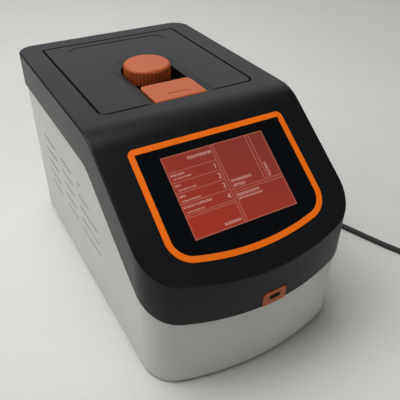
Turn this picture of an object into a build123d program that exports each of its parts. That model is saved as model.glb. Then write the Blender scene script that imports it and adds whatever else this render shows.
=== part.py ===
"""Bench thermal cycler with a raked touch panel, a latched lid and a screw-down heated plate.

Millimetres and degrees. X runs to the right as the user faces the panel, Y runs to the back and
Z runs up. The origin is under the middle of the machine, on the bench that its feet stand on.
"""

from build123d import *
from math import cos, pi, radians, sin, sqrt, tan
import os

os.makedirs("parts", exist_ok=True)

# Casing
case_width = 241.0
case_depth = 409.0
case_height = 237.0
foot_height = 4.0
front_bow = 315.0
front_corner = 40.0
rear_corner = 22.0
skin = 3.0
top_edge_round = 1.8
rake = 35.2
crease_share = 0.3577
crease_from_front = round(crease_share * case_depth, 1)
crease_round = 55.0

# Seam between the dark upper casing and the pale lower one
band_height = 41.3
seam_rake = 36.3
seam_crease_behind = 17.2
seam_crease_from_front = crease_from_front + seam_crease_behind
seam_crease_round = 30.0
seam_bend_share = 0.4556
seam_bend_from_front = round(seam_bend_share * seam_crease_from_front, 1)
seam_bend_round = 405.0
seam_gap = 0.3
casing_step = 2.3
lower_wall = 3.0
tongue_height = 5.0
fit_gap = 0.2

# Vent slots in the casing sides
vent_height = 2.0
vent_pitch_share = 0.0859
vent_pitch = round(vent_pitch_share * (case_height - band_height), 1)
vent_rows = 5
vent_below_seam = 51.2
vent_top = case_height - band_height - vent_below_seam
vent_rear_ends = (0.22 * case_depth, 0.3313 * case_depth)
vent_middle_ends = (0.0721 * case_depth, 0.1687 * case_depth)
vent_front_ends = (-0.1137 * case_depth, 0.0244 * case_depth)
vent_behind_crease = 58.6

# Screws
joint_screw_radius = 2.0
joint_screw_head = 3.6
joint_screw_head_height = 2.5
joint_screw_length = 18.0
joint_cap = 6.0
foot_screw_radius = 2.0
foot_screw_head = 3.5
foot_screw_head_height = 1.2
foot_screw_length = 7.0
fan_screw_head = 3.8
fan_screw_head_height = 1.8
fan_screw_length = 12.0
panel_screw_head = 3.6
panel_screw_head_height = 1.6
panel_screw_length = 8.0
panel_screw_inset = (5.0, 8.0)
lid_screw_head = 3.2
lid_screw_head_height = 1.6

# Lid opening and lid panel
lid_side_border = 29.0
lid_width = case_width - 2 * lid_side_border
lid_from_rear = 25.5
lid_behind_crease = 34.2
lid_from_front = crease_from_front + lid_behind_crease
lid_depth = case_depth - lid_from_front - lid_from_rear
lid_gap = 1.8
lid_front_round = 9.0
lid_rear_round = 2.0
lid_panel = 3.0
lid_edge_round = 1.2
lid_skirt_inset = 2.5
lid_skirt_wall = 2.2
lid_closed_depth = 32.0
lid_skirt_bottom = case_height - lid_closed_depth
lid_rim_height = 6.0
lid_rear_notch = 7.5
lid_boss_radius = 4.0
lid_boss_inset = 11.5
lid_boss_spread = lid_width / 2 - lid_boss_inset
lid_boss_from_front = (24.0, lid_depth - 45.0)
lid_screw_radius = 1.5
lid_screw_length = 8.0
label_recess_width = lid_width - 49.0
label_recess_depth = 36.0
label_recess_from_front = lid_depth - 29.0
label_recess = 0.5

# Dished channel around the knob and the release latch
knob_ahead_of_middle = 13.7
knob_from_lid_front = lid_depth / 2 - knob_ahead_of_middle
channel_half = 31.5
channel_border = 9.5
channel_dish = 2.0
channel_depth = 14.0
channel_wall = 2.2

# Pressure knob and its screw
knob_radius = 28.2
knob_height = 19.5
knob_proud = 7.5
knob_flutes = 40
flute_depth = 0.9
knob_edge_round = 3.0
knob_hollow_radius = 22.0
knob_hollow_depth = 12.0
knob_hub_radius = 9.0
screw_radius = 5.0
screw_pitch = 4.0
screw_end_gap = 1.8
running_gap = 0.05
bush_radius = 8.0
bush_flange = 1.5
bush_flange_radius = 12.0

# Heated plate stack under the lid
block_width = case_width - 129.0
block_share = 0.3842
block_depth = round(block_share * lid_depth, 1)
heated_overhang = (8.0, 6.0)
heated_width = block_width + heated_overhang[0]
heated_depth = block_depth + heated_overhang[1]
heated_thickness = 8.0
heated_below_top = 41.0
heated_bottom = case_height - heated_below_top
heated_corner = 4.0
heated_chamfer = 0.8
heater_inset = 2.0
heater_thickness = 1.2
insulation_thickness = 9.3
insulation_hole_gap = 1.0
frame_thickness = 3.0
frame_overhang = 30.0
frame_reach = heated_width + frame_overhang
frame_depth = heated_depth - 12.0
nut_radius = 9.0
nut_height = 1.5
post_outside_plate = 10.0
post_spread = heated_width / 2 + post_outside_plate
post_pitch = heated_depth - 32.0
guide_radius = 3.0
guide_head_radius = 4.8
guide_head = 2.0
guide_below_top = 11.0
guide_top = case_height - guide_below_top
tray_thickness = 2.5
tray_window_gap = 4.0
tray_gap = 0.3
tray_hinge_gap = 1.7

# Release latch
latch_gap = 0.5
latch_front_reach = 0.6
latch_depth = 43.4
latch_thickness = 3.0
latch_corner = 6.0
latch_recess_width = 23.5
latch_recess_depth = 9.0
latch_recess = 0.5
latch_recess_shift = 1.25
latch_recess_from_front = 10.1
latch_recess_corner = 1.5
latch_front_thickness = 5.0
latch_pin_radius = 2.0
latch_pin_behind = 5.5
latch_pin_below = 5.5
latch_lug_radius = 4.0
latch_lug_width = 6.0
latch_lug_spread = 22.0
spring_wire = 0.8
spring_radius = 3.1
hook_width = 14.0
hook_plate = 3.0
hook_below_top = 33.5
hook_bottom = case_height - hook_below_top
hook_nose = 4.0
hook_reach = 9.5
hook_clearance = 0.5
hook_side_room = 5.0
hook_slot = 11.5
striker_height = 4.0
striker_reach = 4.0
striker_width = 28.0
striker_plate = 1.5

# Lid hinge
hinge_from_lid_rear = 13.0
hinge_behind_front = lid_depth - hinge_from_lid_rear
hinge_below_top = 11.0
hinge_inset = 21.5
hinge_spread = lid_width / 2 - hinge_inset
hinge_pin_radius = 3.0
hinge_boss_radius = 6.3
bracket_width = 7.2
hinge_side_gap = 0.4
hinge_ear = 6.0
hinge_foot_length = 18.0
hinge_foot_thickness = 3.0
hinge_pin_proud = 1.5
hinge_press_gap = 0.02
bracket_depth = 9.0
bracket_front_gap = 1.0
bracket_foot_length = 28.0

# Chamber tub below the lid
tub_side_gap = 1.0
tub_front_gap = 1.7
tub_rear_gap = 5.2
tub_wall = 2.5
tub_corner = 4.0
tub_floor_below_top = 61.0
tub_floor_top = case_height - tub_floor_below_top

# Sample block, seal, thermoelectric modules and heat sink
block_below_top = 55.0
block_top = case_height - block_below_top
block_thickness = 22.0
well_pitch = 9.0
well_border = 6.5
well_columns = int((block_width - 2 * well_border) / well_pitch) + 1
well_rows = int((block_depth - 2 * well_border) / well_pitch) + 1
well_mouth_radius = 3.1
well_tip_radius = 1.3
well_depth = 15.0
block_chamfer = 1.0
block_corner = 3.0
block_gap = 2.0
seal_thickness = 2.0
seal_border = 6.0
module_side = 36.0
module_thickness = 3.6
module_pitch = 37.5
module_columns = round(block_width / module_pitch)
module_rows = round(block_depth / module_pitch)
sink_overhang = (56.0, 32.0)
sink_width = block_width + sink_overhang[0]
sink_depth = block_depth + sink_overhang[1]
sink_base = 10.0
fin_height = round(0.211 * case_height, 1)
fin_thickness = 1.4
fin_pitch = 5.2
fin_border = 36.0
fin_count = int((sink_width - fin_border) / fin_pitch) + 1
sink_post_radius = 4.0
sink_post_inset = (6.0, 10.0)
sink_post_spread = sink_width / 2 - sink_post_inset[0]
sink_post_pitch = sink_depth - 2 * sink_post_inset[1]

# Air duct and fan
duct_wall = 1.5
fan_share = 0.388
fan_side = round(fan_share * case_height)
fan_thickness = 25.0
fan_rim = 2.0
fan_bore = fan_side / 2 - fan_rim
fan_hub_radius = round(0.41 * fan_bore)
fan_tip_gap = 1.2
fan_corner = 5.0
fan_web = 3.0
fan_arm = 4.0
fan_rotor_gap = 1.0
blade_root_shape = (17.0, 48.0, 2.0)
blade_tip_shape = (25.0, 62.0, 1.4)
fan_blades = 7
fan_hole_inset = 9.5
fan_hole_pitch = fan_side - fan_hole_inset
fan_hole_radius = 2.2
guard_bar = 1.6
guard_rings = 5
guard_eye = 5.0

# Base plate, feet, boards and supply
base_thickness = 1.5
foot_radius = 9.0
foot_taper = 4.0
intake_slot = (4.0, 24.0)
intake_slots = 13
intake_pitch = 10.0
foot_inset = 32.5
foot_spread = case_width / 2 - foot_inset
foot_from_front = 52.0
foot_from_rear = 34.0
boss_radius = 5.5
boss_rib = 2.0
front_boss_spread = case_width / 2 - 19.5
front_boss_from_front = 44.5
rear_boss_spread = case_width / 2 - 14.5
rear_boss_from_rear = 14.5
board_side_room = 71.0
board_width = case_width - board_side_room
board_depth = round(0.2543 * case_depth)
board_thickness = 1.6
board_lift = 8.0
board_corner = 3.0
board_post_inset = 6.0
board_post_radius = 3.5
part_height = 9.0
processor_side = 24.0
connector_block = (34.0, 9.0)
capacitor_radius = 5.0
board_from_front = 38.0
supply_width = sink_width - 50.0
supply_depth = round(0.3667 * case_depth)
supply_height = 42.0
supply_slots = 10
supply_slot = 4.0
supply_slot_border = 40.0
supply_from_rear = 25.5
supply_centre = (-14.0, case_depth / 2 - supply_from_rear - supply_depth / 2)

# Rear panel and mains entry
panel_thickness = 1.5
panel_bottom = 12.0
panel_top_gap = 12.7
panel_height = case_height - band_height - panel_bottom - panel_top_gap
panel_border = 3.0
inlet_from_side = 50.5
inlet_x = case_width / 2 - inlet_from_side
inlet_z = 42.0
inlet_flange_width = 48.0
inlet_flange_height = 50.0
inlet_flange = 2.0
inlet_corner = 3.0
inlet_pin_spread = 7.0
inlet_pin_rise = 2.0
inlet_pin_size = (2.0, 4.0)
inlet_pin_short = 3.0
inlet_body_width = 28.0
inlet_body_height = 24.0
inlet_depth = 24.0
inlet_socket_width = 24.8
inlet_socket_height = 16.6
inlet_socket_depth = 16.0
drawer_width = 25.0
drawer_height = 9.0
drawer_depth = 30.0
drawer_above = 20.0
drawer_sleeve = 1.4
drawer_floor = 1.5
drawer_end = 4.0
fuse_radius = 2.6
fuse_length = 20.0
fuse_pitch = 11.0
fuse_bay = (7.0, 22.0)
switch_above = 62.0
switch_width = 30.0
switch_height = 22.0
rocker_width = 21.0
rocker_height = 15.0
rocker_tilt = 7.0
rocker_gap = 1.2
rocker_proud = 3.4
rocker_dip = 1.2
rocker_edge = 0.4
rocker_depth = 2.5
rocker_keel = 5.5
rocker_pivot_depth = 1.5
switch_border = 1.7
switch_corner = 2.0
switch_depth = 22.0
rocker_well = 11.0
trunnion_radius = 1.5
trunnion_length = 1.4

# Touch panel in the raked face
ring_side_border = 30.5
ring_half_width = case_width / 2 - ring_side_border
ring_top = 24.7
ring_bottom = round(1.0615 * crease_from_front, 1)
ring_bow = 272.0
ring_top_round = 7.0
ring_bottom_round = 28.0
ring_width = 6.3
ring_ledge = 2.0
ring_proud = 0.5
glass_thickness = 2.0
glass_gap = 0.15
screen_width = 2 * (ring_half_width - 31.0)
screen_height = round(0.6616 * (ring_bottom - ring_top), 1)
screen_top = ring_top + 16.2
screen_shift = -1.9
display_thickness = 9.0
display_border = 7.0
bracket_sheet = 1.5
bracket_border = 4.0

# Host socket in the front seam
port_x = 5.6
port_width = 27.8
port_above_seam = 17.2
port_round = 4.0
port_proud = 0.7
port_flange = 2.0
port_flange_thickness = 3.0
port_shelf = 1.5
socket_width = 13.1
socket_height = 5.7
socket_sheet = 0.3
socket_depth = 14.0
socket_below_port_top = 8.2

# Mains lead
cord_radius = 3.5
connector_length = 30.0
connector_width = 27.0
connector_height = 20.0
relief_length = 28.0
relief_radius = 6.0
relief_end_wall = 0.8
connector_gap = 0.3
connector_corner = 3.0
connector_chamfer = 2.5
cord_exit_run = 19.5
cord_route = (
    (-47.5, 94.5, 34.0),
    (-40.5, 117.5, 16.0),
    (-28.5, 139.5, cord_radius),
    (-8.5, 159.5, cord_radius),
    (17.5, 163.5, cord_radius),
    (43.5, 153.5, cord_radius),
    (59.5, 129.5, cord_radius),
    (63.5, 91.5, cord_radius),
    (55.5, 35.5, cord_radius),
    (50.5, -32.5, cord_radius),
    (58.5, -97.5, cord_radius),
    (74.5, -158.5, cord_radius),
    (90.5, -214.5, cord_radius),
    (106.0, -263.5, cord_radius),
    (122.0, -308.5, cord_radius),
    (137.0, -348.0, cord_radius),
    (150.5, -375.0, cord_radius),
)
coil_radius = 36.5
coil_half_width = 10.8
coil_height = 13.8
coil_lift = 0.2
coil_lead_in = 42.0
coil_tail = 34.0
plug_length = 38.0
plug_width = 27.0
plug_height = 20.0
plug_corner = 5.0
plug_chamfer = 1.5
plug_relief_length = 24.0
pin_length = 16.0
blade_spread = 6.35
blade_size = (1.5, 6.3)
blade_rise = 2.0
earth_pin_drop = 5.0
earth_pin_radius = 2.4

# Places worked out from the sizes above
front_y = -case_depth / 2
rear_y = case_depth / 2
crease_y = front_y + crease_from_front
seam_z = case_height - band_height
seam_crease_y = front_y + seam_crease_from_front
seam_bend_y = front_y + seam_bend_from_front
lid_front_y = front_y + lid_from_front
lid_rear_y = lid_front_y + lid_depth
lid_half = lid_width / 2
knob_y = lid_front_y + knob_from_lid_front
hinge_y = lid_front_y + hinge_behind_front
hinge_z = case_height - hinge_below_top
skirt_inner = lid_skirt_inset + lid_skirt_wall
floor_z = foot_height + base_thickness
wall_inner = casing_step + lower_wall
panel_width = case_width - 2 * rear_corner
slope = Plane(
    origin=(0, crease_y, case_height),
    x_dir=(1, 0, 0),
    z_dir=(0, -sin(radians(rake)), cos(radians(rake))),
)


def seam_height(y):
    """Height of the seam at a distance y along the machine, in front of its crease."""
    fall = tan(radians(seam_rake))
    if y >= seam_bend_y:
        return min(seam_z, seam_z - (seam_crease_y - y) * fall)
    bend_z = seam_z - (seam_crease_y - seam_bend_y) * fall
    centre_y = seam_bend_y - seam_bend_round * sin(radians(seam_rake))
    centre_z = bend_z + seam_bend_round * cos(radians(seam_rake))
    return centre_z - sqrt(seam_bend_round**2 - (y - centre_y) ** 2)


port_top = round(seam_height(front_y), 1) + port_above_seam
socket_z = port_top - socket_below_port_top


def plan_outline(inset, level=0.0):
    """Outline of the machine seen from above: a bowed front and four rounded corners."""
    with BuildSketch(Plane.XY.offset(level)) as outline:
        Rectangle(case_width - 2 * inset, case_depth - 2 * inset)
        with Locations((0, front_y + front_bow)):
            Circle(front_bow - inset, mode=Mode.INTERSECT)
        fillet(outline.vertices().group_by(Axis.Y)[0], front_corner - inset)
        fillet(outline.vertices().group_by(Axis.Y)[-1], rear_corner - inset)
    return outline.sketch


def under_top(drop):
    """Side view of everything below the flat top and the raked face, lowered by drop."""
    shift = drop * tan(radians(rake / 2))
    run = crease_from_front + case_width
    with BuildSketch(Plane.YZ) as side:
        with BuildLine():
            top = FilletPolyline(
                (rear_y + skin, case_height - drop),
                (crease_y + shift, case_height - drop),
                (crease_y + shift - run, case_height - drop - run * tan(radians(rake))),
                radius=max(crease_round - drop, skin),
            )
            Polyline(top @ 1, (rear_y + skin, (top @ 1).Y), top @ 0)
        make_face()
    return side.sketch


def under_seam(lift):
    """Side view of everything below the seam between the two casings, raised by lift."""
    fall = tan(radians(seam_rake))
    bend_z = seam_z - (seam_crease_y - seam_bend_y) * fall
    with BuildSketch(Plane.YZ) as side:
        with BuildLine():
            seam = FilletPolyline(
                (rear_y + skin, seam_z + lift),
                (seam_crease_y, seam_z + lift),
                (seam_bend_y, bend_z + lift),
                radius=seam_crease_round,
            )
            sweep_out = JernArc(seam @ 1, seam % 1, seam_bend_round, -seam_rake / 2)
            Polyline(
                sweep_out @ 1,
                ((sweep_out @ 1).X, -case_height),
                (rear_y + skin, -case_height),
                seam @ 0,
            )
        make_face()
    return side.sketch


def lid_outline(grow, level):
    """Outline of the lid seen from above, grown or shrunk all round."""
    with BuildSketch(Plane.XY.offset(level)) as outline:
        with Locations((0, (lid_front_y + lid_rear_y) / 2)):
            Rectangle(lid_width + 2 * grow, lid_depth + 2 * grow)
        fillet(outline.vertices().group_by(Axis.Y)[0], max(lid_front_round + grow, 1))
        fillet(outline.vertices().group_by(Axis.Y)[-1], max(lid_rear_round + grow, 1))
    return outline.sketch


def channel_outline(half, front, level):
    """Outline of the knob channel: straight sides from the lid's front, round behind the knob."""
    with BuildSketch(Plane.XY.offset(level)) as outline:
        with BuildLine():
            right = Line((half, front), (half, knob_y))
            back = ThreePointArc(right @ 1, (0, knob_y + half), (-half, knob_y))
            Polyline(back @ 1, (-half, front), right @ 0)
        make_face()
    return outline.sketch


def ring_outline(grow, lift):
    """Outline of the panel ring on the raked face: square-set above, bowed below."""
    with BuildSketch(slope.offset(lift)) as outline:
        with Locations((0, -(ring_top + ring_bottom) / 2)):
            Rectangle(2 * (ring_half_width + grow), ring_bottom - ring_top + 2 * grow)
        with Locations((0, ring_bow - ring_bottom)):
            Circle(ring_bow + grow, mode=Mode.INTERSECT)
        corners = outline.vertices().group_by(Axis.Y)
        fillet(corners[0], ring_bottom_round + grow)
        fillet(outline.vertices().group_by(Axis.Y)[-1], max(ring_top_round + grow, 1))
    return outline.sketch


def inner_space(inset, drop):
    """Space inside the casing, inset from its walls and dropped below its top."""
    with BuildPart() as space:
        extrude(plan_outline(inset), amount=case_height)
        extrude(under_top(drop), amount=case_width, both=True, mode=Mode.INTERSECT)
    return space.part


def keep(piece, label):
    """Name a finished piece and write it out."""
    piece.part.label = label
    export_step(piece.part, f"parts/{label}.step")


def screws(places, head_z, head_radius, head, shank_radius, shank, upwards=1):
    """Screws with round heads at the given places; the shank runs up, or down when upwards is -1."""
    with BuildPart() as group:
        with BuildSketch(Plane.XY.offset(head_z)):
            with Locations(*places):
                Circle(head_radius)
        extrude(amount=-upwards * head)
        with BuildSketch(Plane.XY.offset(head_z)):
            with Locations(*places):
                Circle(shank_radius)
        extrude(amount=upwards * shank)
    return group


boss_places = [
    (side * spread, y)
    for side in (-1, 1)
    for spread, y in (
        (front_boss_spread, front_y + front_boss_from_front),
        (rear_boss_spread, rear_y - rear_boss_from_rear),
    )
]


def boss_columns(radius, low, high):
    """Round columns at the four casing bosses."""
    with BuildPart() as columns:
        with BuildSketch(Plane.XY.offset(low)):
            with Locations(*boss_places):
                Circle(radius)
        extrude(amount=high - low)
    return columns.part




def is_top_edge(edge):
    """True for an edge between a side wall and the top or the raked face."""
    middle = edge @ 0.5
    return middle.Z > seam_height(middle.Y) + skin and abs((edge % 0.5).Z) < 0.95


# Upper casing: a bowed, raked moulding with a lid opening, a panel opening and a port notch
with BuildPart() as upper_casing:
    extrude(plan_outline(0), amount=case_height)
    extrude(under_top(0), amount=case_width, both=True, mode=Mode.INTERSECT)
    extrude(under_seam(0), amount=case_width, both=True, mode=Mode.SUBTRACT)
    walls = upper_casing.faces().filter_by(lambda face: abs(face.normal_at().Z) < 0.01)
    fillet(walls.edges().filter_by(is_top_edge), top_edge_round)
    add(inner_space(skin, skin), mode=Mode.SUBTRACT)
    with BuildPart(mode=Mode.PRIVATE) as joint_bosses:
        add(boss_columns(boss_radius, 0, case_height))
        add(inner_space(skin - fit_gap, skin - fit_gap), mode=Mode.INTERSECT)
        extrude(under_seam(seam_gap), amount=case_width, both=True, mode=Mode.SUBTRACT)
        add(boss_columns(joint_screw_radius + running_gap, 0, case_height - 4 * skin), mode=Mode.SUBTRACT)
    add(joint_bosses.part)
    extrude(lid_outline(lid_gap, case_height), amount=-skin, mode=Mode.SUBTRACT)
    extrude(ring_outline(fit_gap, ring_proud), amount=-(skin + ring_proud), mode=Mode.SUBTRACT)
    with BuildSketch(Plane.XZ.offset(-front_y)):
        with Locations((port_x, (port_top + seam_height(front_y)) / 2)):
            Rectangle(port_width + 2 * fit_gap, port_top - seam_height(front_y) + 2 * fit_gap)
    extrude(amount=-2 * skin, mode=Mode.SUBTRACT)
keep(upper_casing, "upper_casing")

# Lower casing: side walls with vent slots, a tongue inside the upper casing and four screw posts
with BuildPart() as lower_casing:
    extrude(plan_outline(casing_step, foot_height), amount=case_height)
    extrude(plan_outline(wall_inner, foot_height), amount=case_height, mode=Mode.SUBTRACT)
    extrude(under_seam(-seam_gap), amount=case_width, both=True, mode=Mode.INTERSECT)
    with BuildPart(mode=Mode.PRIVATE) as tongue:
        extrude(plan_outline(skin + fit_gap, foot_height), amount=case_height)
        extrude(plan_outline(wall_inner, foot_height), amount=case_height, mode=Mode.SUBTRACT)
        extrude(under_seam(tongue_height), amount=case_width, both=True, mode=Mode.INTERSECT)
        extrude(under_seam(-tongue_height), amount=case_width, both=True, mode=Mode.SUBTRACT)
        with BuildSketch(Plane.XZ.offset(-front_y)):
            with Locations((port_x, port_top)):
                Rectangle(port_width + 2 * lower_wall, port_top)
        extrude(amount=-(wall_inner + lower_wall), mode=Mode.SUBTRACT)
    add(tongue.part)
    with BuildPart(mode=Mode.PRIVATE) as screw_posts:
        add(boss_columns(boss_radius, floor_z, case_height))
        with BuildSketch(Plane.XY.offset(floor_z)):
            for x, y in boss_places:
                with Locations((x + (boss_radius if x > 0 else -boss_radius) * 2, y)):
                    Rectangle(boss_radius * 4, boss_rib)
        extrude(amount=case_height)
        extrude(plan_outline(casing_step + lower_wall / 2), amount=case_height, mode=Mode.INTERSECT)
        extrude(under_seam(-seam_gap), amount=case_width, both=True, mode=Mode.INTERSECT)
        add(
            boss_columns(joint_screw_radius + running_gap, floor_z, case_height),
            mode=Mode.SUBTRACT,
        )
        for x, y in boss_places:
            with BuildSketch(Plane.XY.offset(floor_z)):
                with Locations((x, y)):
                    Circle(joint_screw_head + running_gap)
            extrude(amount=seam_height(y - boss_radius) - joint_cap - floor_z, mode=Mode.SUBTRACT)
    add(screw_posts.part)
    for row in range(vent_rows):
        level = vent_top - row * vent_pitch
        for low, high in (vent_rear_ends, vent_middle_ends, vent_front_ends):
            start = max(low, crease_y + vent_behind_crease - row * vent_pitch / tan(radians(rake)))
            if high - start < vent_height:
                continue
            with BuildSketch(Plane.YZ):
                with Locations(((start + high) / 2, level)):
                    Rectangle(high - start, vent_height)
            extrude(amount=case_width, both=True, mode=Mode.SUBTRACT)
    with BuildSketch(Plane.XZ.offset(-rear_y)):
        with Locations((0, panel_bottom + panel_height / 2)):
            Rectangle(panel_width - 2 * panel_border, panel_height - 2 * panel_border)
    extrude(amount=2 * wall_inner, mode=Mode.SUBTRACT)
keep(lower_casing, "lower_casing")

joint_screws = BuildPart()
with joint_screws:
    for x, y in boss_places:
        head_z = seam_height(y - boss_radius) - joint_cap
        with BuildSketch(Plane.XY.offset(head_z)):
            with Locations((x, y)):
                Circle(joint_screw_head)
        extrude(amount=-joint_screw_head_height)
        with BuildSketch(Plane.XY.offset(head_z)):
            with Locations((x, y)):
                Circle(joint_screw_radius)
        extrude(amount=joint_screw_length)
keep(joint_screws, "casing_screws")

# Base plate: folded sheet steel with intake slots and four feet screwed on
foot_places = [
    (side * foot_spread, y)
    for side in (-1, 1)
    for y in (front_y + foot_from_front, rear_y - foot_from_rear)
]
with BuildPart() as base_plate:
    extrude(plan_outline(wall_inner + fit_gap, foot_height), amount=base_thickness)
    with BuildSketch(Plane.XY.offset(foot_height)):
        with Locations((0, knob_y)):
            with GridLocations(intake_pitch, 1.5 * intake_slot[1], intake_slots, 2):
                Rectangle(*intake_slot)
        with Locations(*foot_places):
            Circle(foot_screw_radius + running_gap)
        with Locations(*boss_places):
            Circle(joint_screw_head + running_gap)
    extrude(amount=base_thickness, mode=Mode.SUBTRACT)
keep(base_plate, "base_plate")

with BuildPart() as rubber_feet:
    with BuildSketch():
        with Locations(*foot_places):
            Circle(foot_radius)
    extrude(amount=foot_height, taper=foot_taper)
    with BuildSketch():
        with Locations(*foot_places):
            Circle(foot_screw_head + running_gap)
    extrude(amount=foot_height / 2, mode=Mode.SUBTRACT)
    with BuildSketch():
        with Locations(*foot_places):
            Circle(foot_screw_radius + running_gap)
    extrude(amount=foot_height, mode=Mode.SUBTRACT)
keep(rubber_feet, "rubber_feet")

foot_screws = screws(
    foot_places, foot_height / 2, foot_screw_head, foot_screw_head_height, foot_screw_radius, foot_screw_length
)
keep(foot_screws, "foot_screws")

# Chamber tub: the black moulding that the lid closes into
tub_half = lid_half + lid_gap + tub_side_gap
tub_front_y = lid_front_y - lid_gap - tub_front_gap
tub_rear_y = lid_rear_y + lid_gap + tub_rear_gap
skin_z = case_height - skin


def tub_outline(grow, level):
    """Outline of the chamber tub's inside, grown by its wall where asked."""
    with BuildSketch(Plane.XY.offset(level)) as outline:
        with Locations((0, (tub_front_y + tub_rear_y) / 2)):
            Rectangle(2 * (tub_half + grow), tub_rear_y - tub_front_y + 2 * grow)
        fillet(outline.vertices(), tub_corner + grow)
    return outline.sketch


with BuildPart() as chamber_tub:
    extrude(tub_outline(tub_wall, tub_floor_top - tub_wall), amount=skin_z - tub_floor_top + tub_wall)
    extrude(tub_outline(0, tub_floor_top), amount=skin_z - tub_floor_top, mode=Mode.SUBTRACT)
    with BuildSketch(Plane.XY.offset(tub_floor_top - tub_wall)):
        with Locations((0, knob_y)):
            RectangleRounded(block_width + 2 * block_gap, block_depth + 2 * block_gap, block_corner)
    extrude(amount=tub_wall, mode=Mode.SUBTRACT)
keep(chamber_tub, "chamber_tub")

# Striker: steel bar on the tub's front wall that the latch hook pulls up against
striker_under = hook_bottom + hook_nose + hook_clearance
with BuildPart() as striker:
    with BuildSketch(Plane.XZ.offset(-tub_front_y)):
        with Locations((0, striker_under + striker_height / 2)):
            Rectangle(striker_width, 4 * striker_height)
    extrude(amount=-striker_plate)
    with BuildSketch(Plane.XZ.offset(-tub_front_y)):
        with Locations((0, striker_under + striker_height / 2)):
            Rectangle(striker_width, striker_height)
    extrude(amount=-striker_reach)
keep(striker, "latch_striker")

# Sample block: machined aluminium with tapered wells
module_top = block_top - block_thickness
sink_top = module_top - module_thickness
with BuildPart() as sample_block:
    with BuildSketch(Plane.XY.offset(module_top)):
        with Locations((0, knob_y)):
            Rectangle(block_width, block_depth)
    extrude(amount=block_thickness)
    chamfer(sample_block.faces().sort_by(Axis.Z)[-1].edges(), block_chamfer)
    with Locations((0, knob_y, block_top - well_depth / 2)):
        with GridLocations(well_pitch, well_pitch, well_columns, well_rows):
            Cone(well_tip_radius, well_mouth_radius, well_depth, mode=Mode.SUBTRACT)
keep(sample_block, "sample_block")

with BuildPart() as block_seal:
    with BuildSketch(Plane.XY.offset(tub_floor_top)):
        with Locations((0, knob_y)):
            RectangleRounded(block_width + 2 * seal_border, block_depth + 2 * seal_border, tub_corner)
            Rectangle(block_width + fit_gap, block_depth + fit_gap, mode=Mode.SUBTRACT)
    extrude(amount=seal_thickness)
keep(block_seal, "block_seal")

with BuildPart() as peltier_modules:
    with BuildSketch(Plane.XY.offset(sink_top)):
        with Locations((0, knob_y)):
            with GridLocations(module_pitch, module_pitch, module_columns, module_rows):
                Rectangle(module_side, module_side)
    extrude(amount=module_thickness)
keep(peltier_modules, "peltier_modules")

# Heat sink: extruded aluminium with its fins along the air stream
sink_post_places = [
    (x, knob_y + y)
    for x in (-sink_post_spread, sink_post_spread)
    for y in (-sink_post_pitch / 2, sink_post_pitch / 2)
]
with BuildPart() as heat_sink:
    with BuildSketch(Plane.XY.offset(sink_top - sink_base)):
        with Locations((0, knob_y)):
            Rectangle(sink_width, sink_depth)
    extrude(amount=sink_base)
    with BuildSketch(Plane.XY.offset(sink_top - sink_base)):
        with Locations((0, knob_y)):
            with GridLocations(fin_pitch, 1, fin_count, 1):
                Rectangle(fin_thickness, sink_depth)
    extrude(amount=-fin_height)
keep(heat_sink, "heat_sink")

with BuildPart() as sink_posts:
    with BuildSketch(Plane.XY.offset(floor_z)):
        with Locations(*sink_post_places):
            RegularPolygon(sink_post_radius, 6)
    extrude(amount=sink_top - sink_base - floor_z)
keep(sink_posts, "heat_sink_posts")

# Air duct: folded sheet that narrows the sink's air stream to the fan
fan_z = sink_top - sink_base - fin_height / 2
duct_front = knob_y + sink_depth / 2 + fit_gap
fan_rear_y = rear_y - wall_inner - panel_thickness
fan_front_y = fan_rear_y - fan_thickness
fin_span = (fin_count - 1) * fin_pitch + fin_thickness
with BuildPart() as air_duct:
    for grow, mode in ((duct_wall, Mode.ADD), (0, Mode.SUBTRACT)):
        with BuildSketch(Plane.XZ.offset(-duct_front)):
            with Locations((0, fan_z)):
                Rectangle(fin_span + 2 * grow, fin_height + 2 * grow)
        with BuildSketch(Plane.XZ.offset(-(fan_front_y - fit_gap))):
            with Locations((0, fan_z)):
                Rectangle(fan_side - 4 * duct_wall + 2 * grow, fan_side - 4 * duct_wall + 2 * grow)
        loft(mode=mode)
keep(air_duct, "air_duct")

# Fan: square frame, seven-bladed rotor, screws and a ring guard outside the rear panel
fan_axis = Plane.XZ.offset(-fan_front_y)
fan_holes = [
    (x * fan_hole_pitch / 2, fan_z + z * fan_hole_pitch / 2) for x in (-1, 1) for z in (-1, 1)
]
with BuildPart() as fan_frame:
    with BuildSketch(fan_axis):
        with Locations((0, fan_z)):
            RectangleRounded(fan_side, fan_side, fan_corner)
            Circle(fan_bore, mode=Mode.SUBTRACT)
        with Locations(*fan_holes):
            Circle(fan_hole_radius + running_gap, mode=Mode.SUBTRACT)
    extrude(amount=-fan_thickness)
    with BuildSketch(Plane.XZ.offset(-(fan_rear_y - fan_web))):
        with Locations((0, fan_z)):
            Circle(fan_hub_radius)
            for angle in (0, 90, 180, 270):
                with Locations(Location((0, 0), angle)):
                    with Locations((fan_bore / 2 + fan_rim, 0)):
                        Rectangle(fan_bore, fan_arm)
            Circle(fan_bore + 1, mode=Mode.INTERSECT)
    extrude(amount=-fan_web)
keep(fan_frame, "fan_frame")

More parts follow.
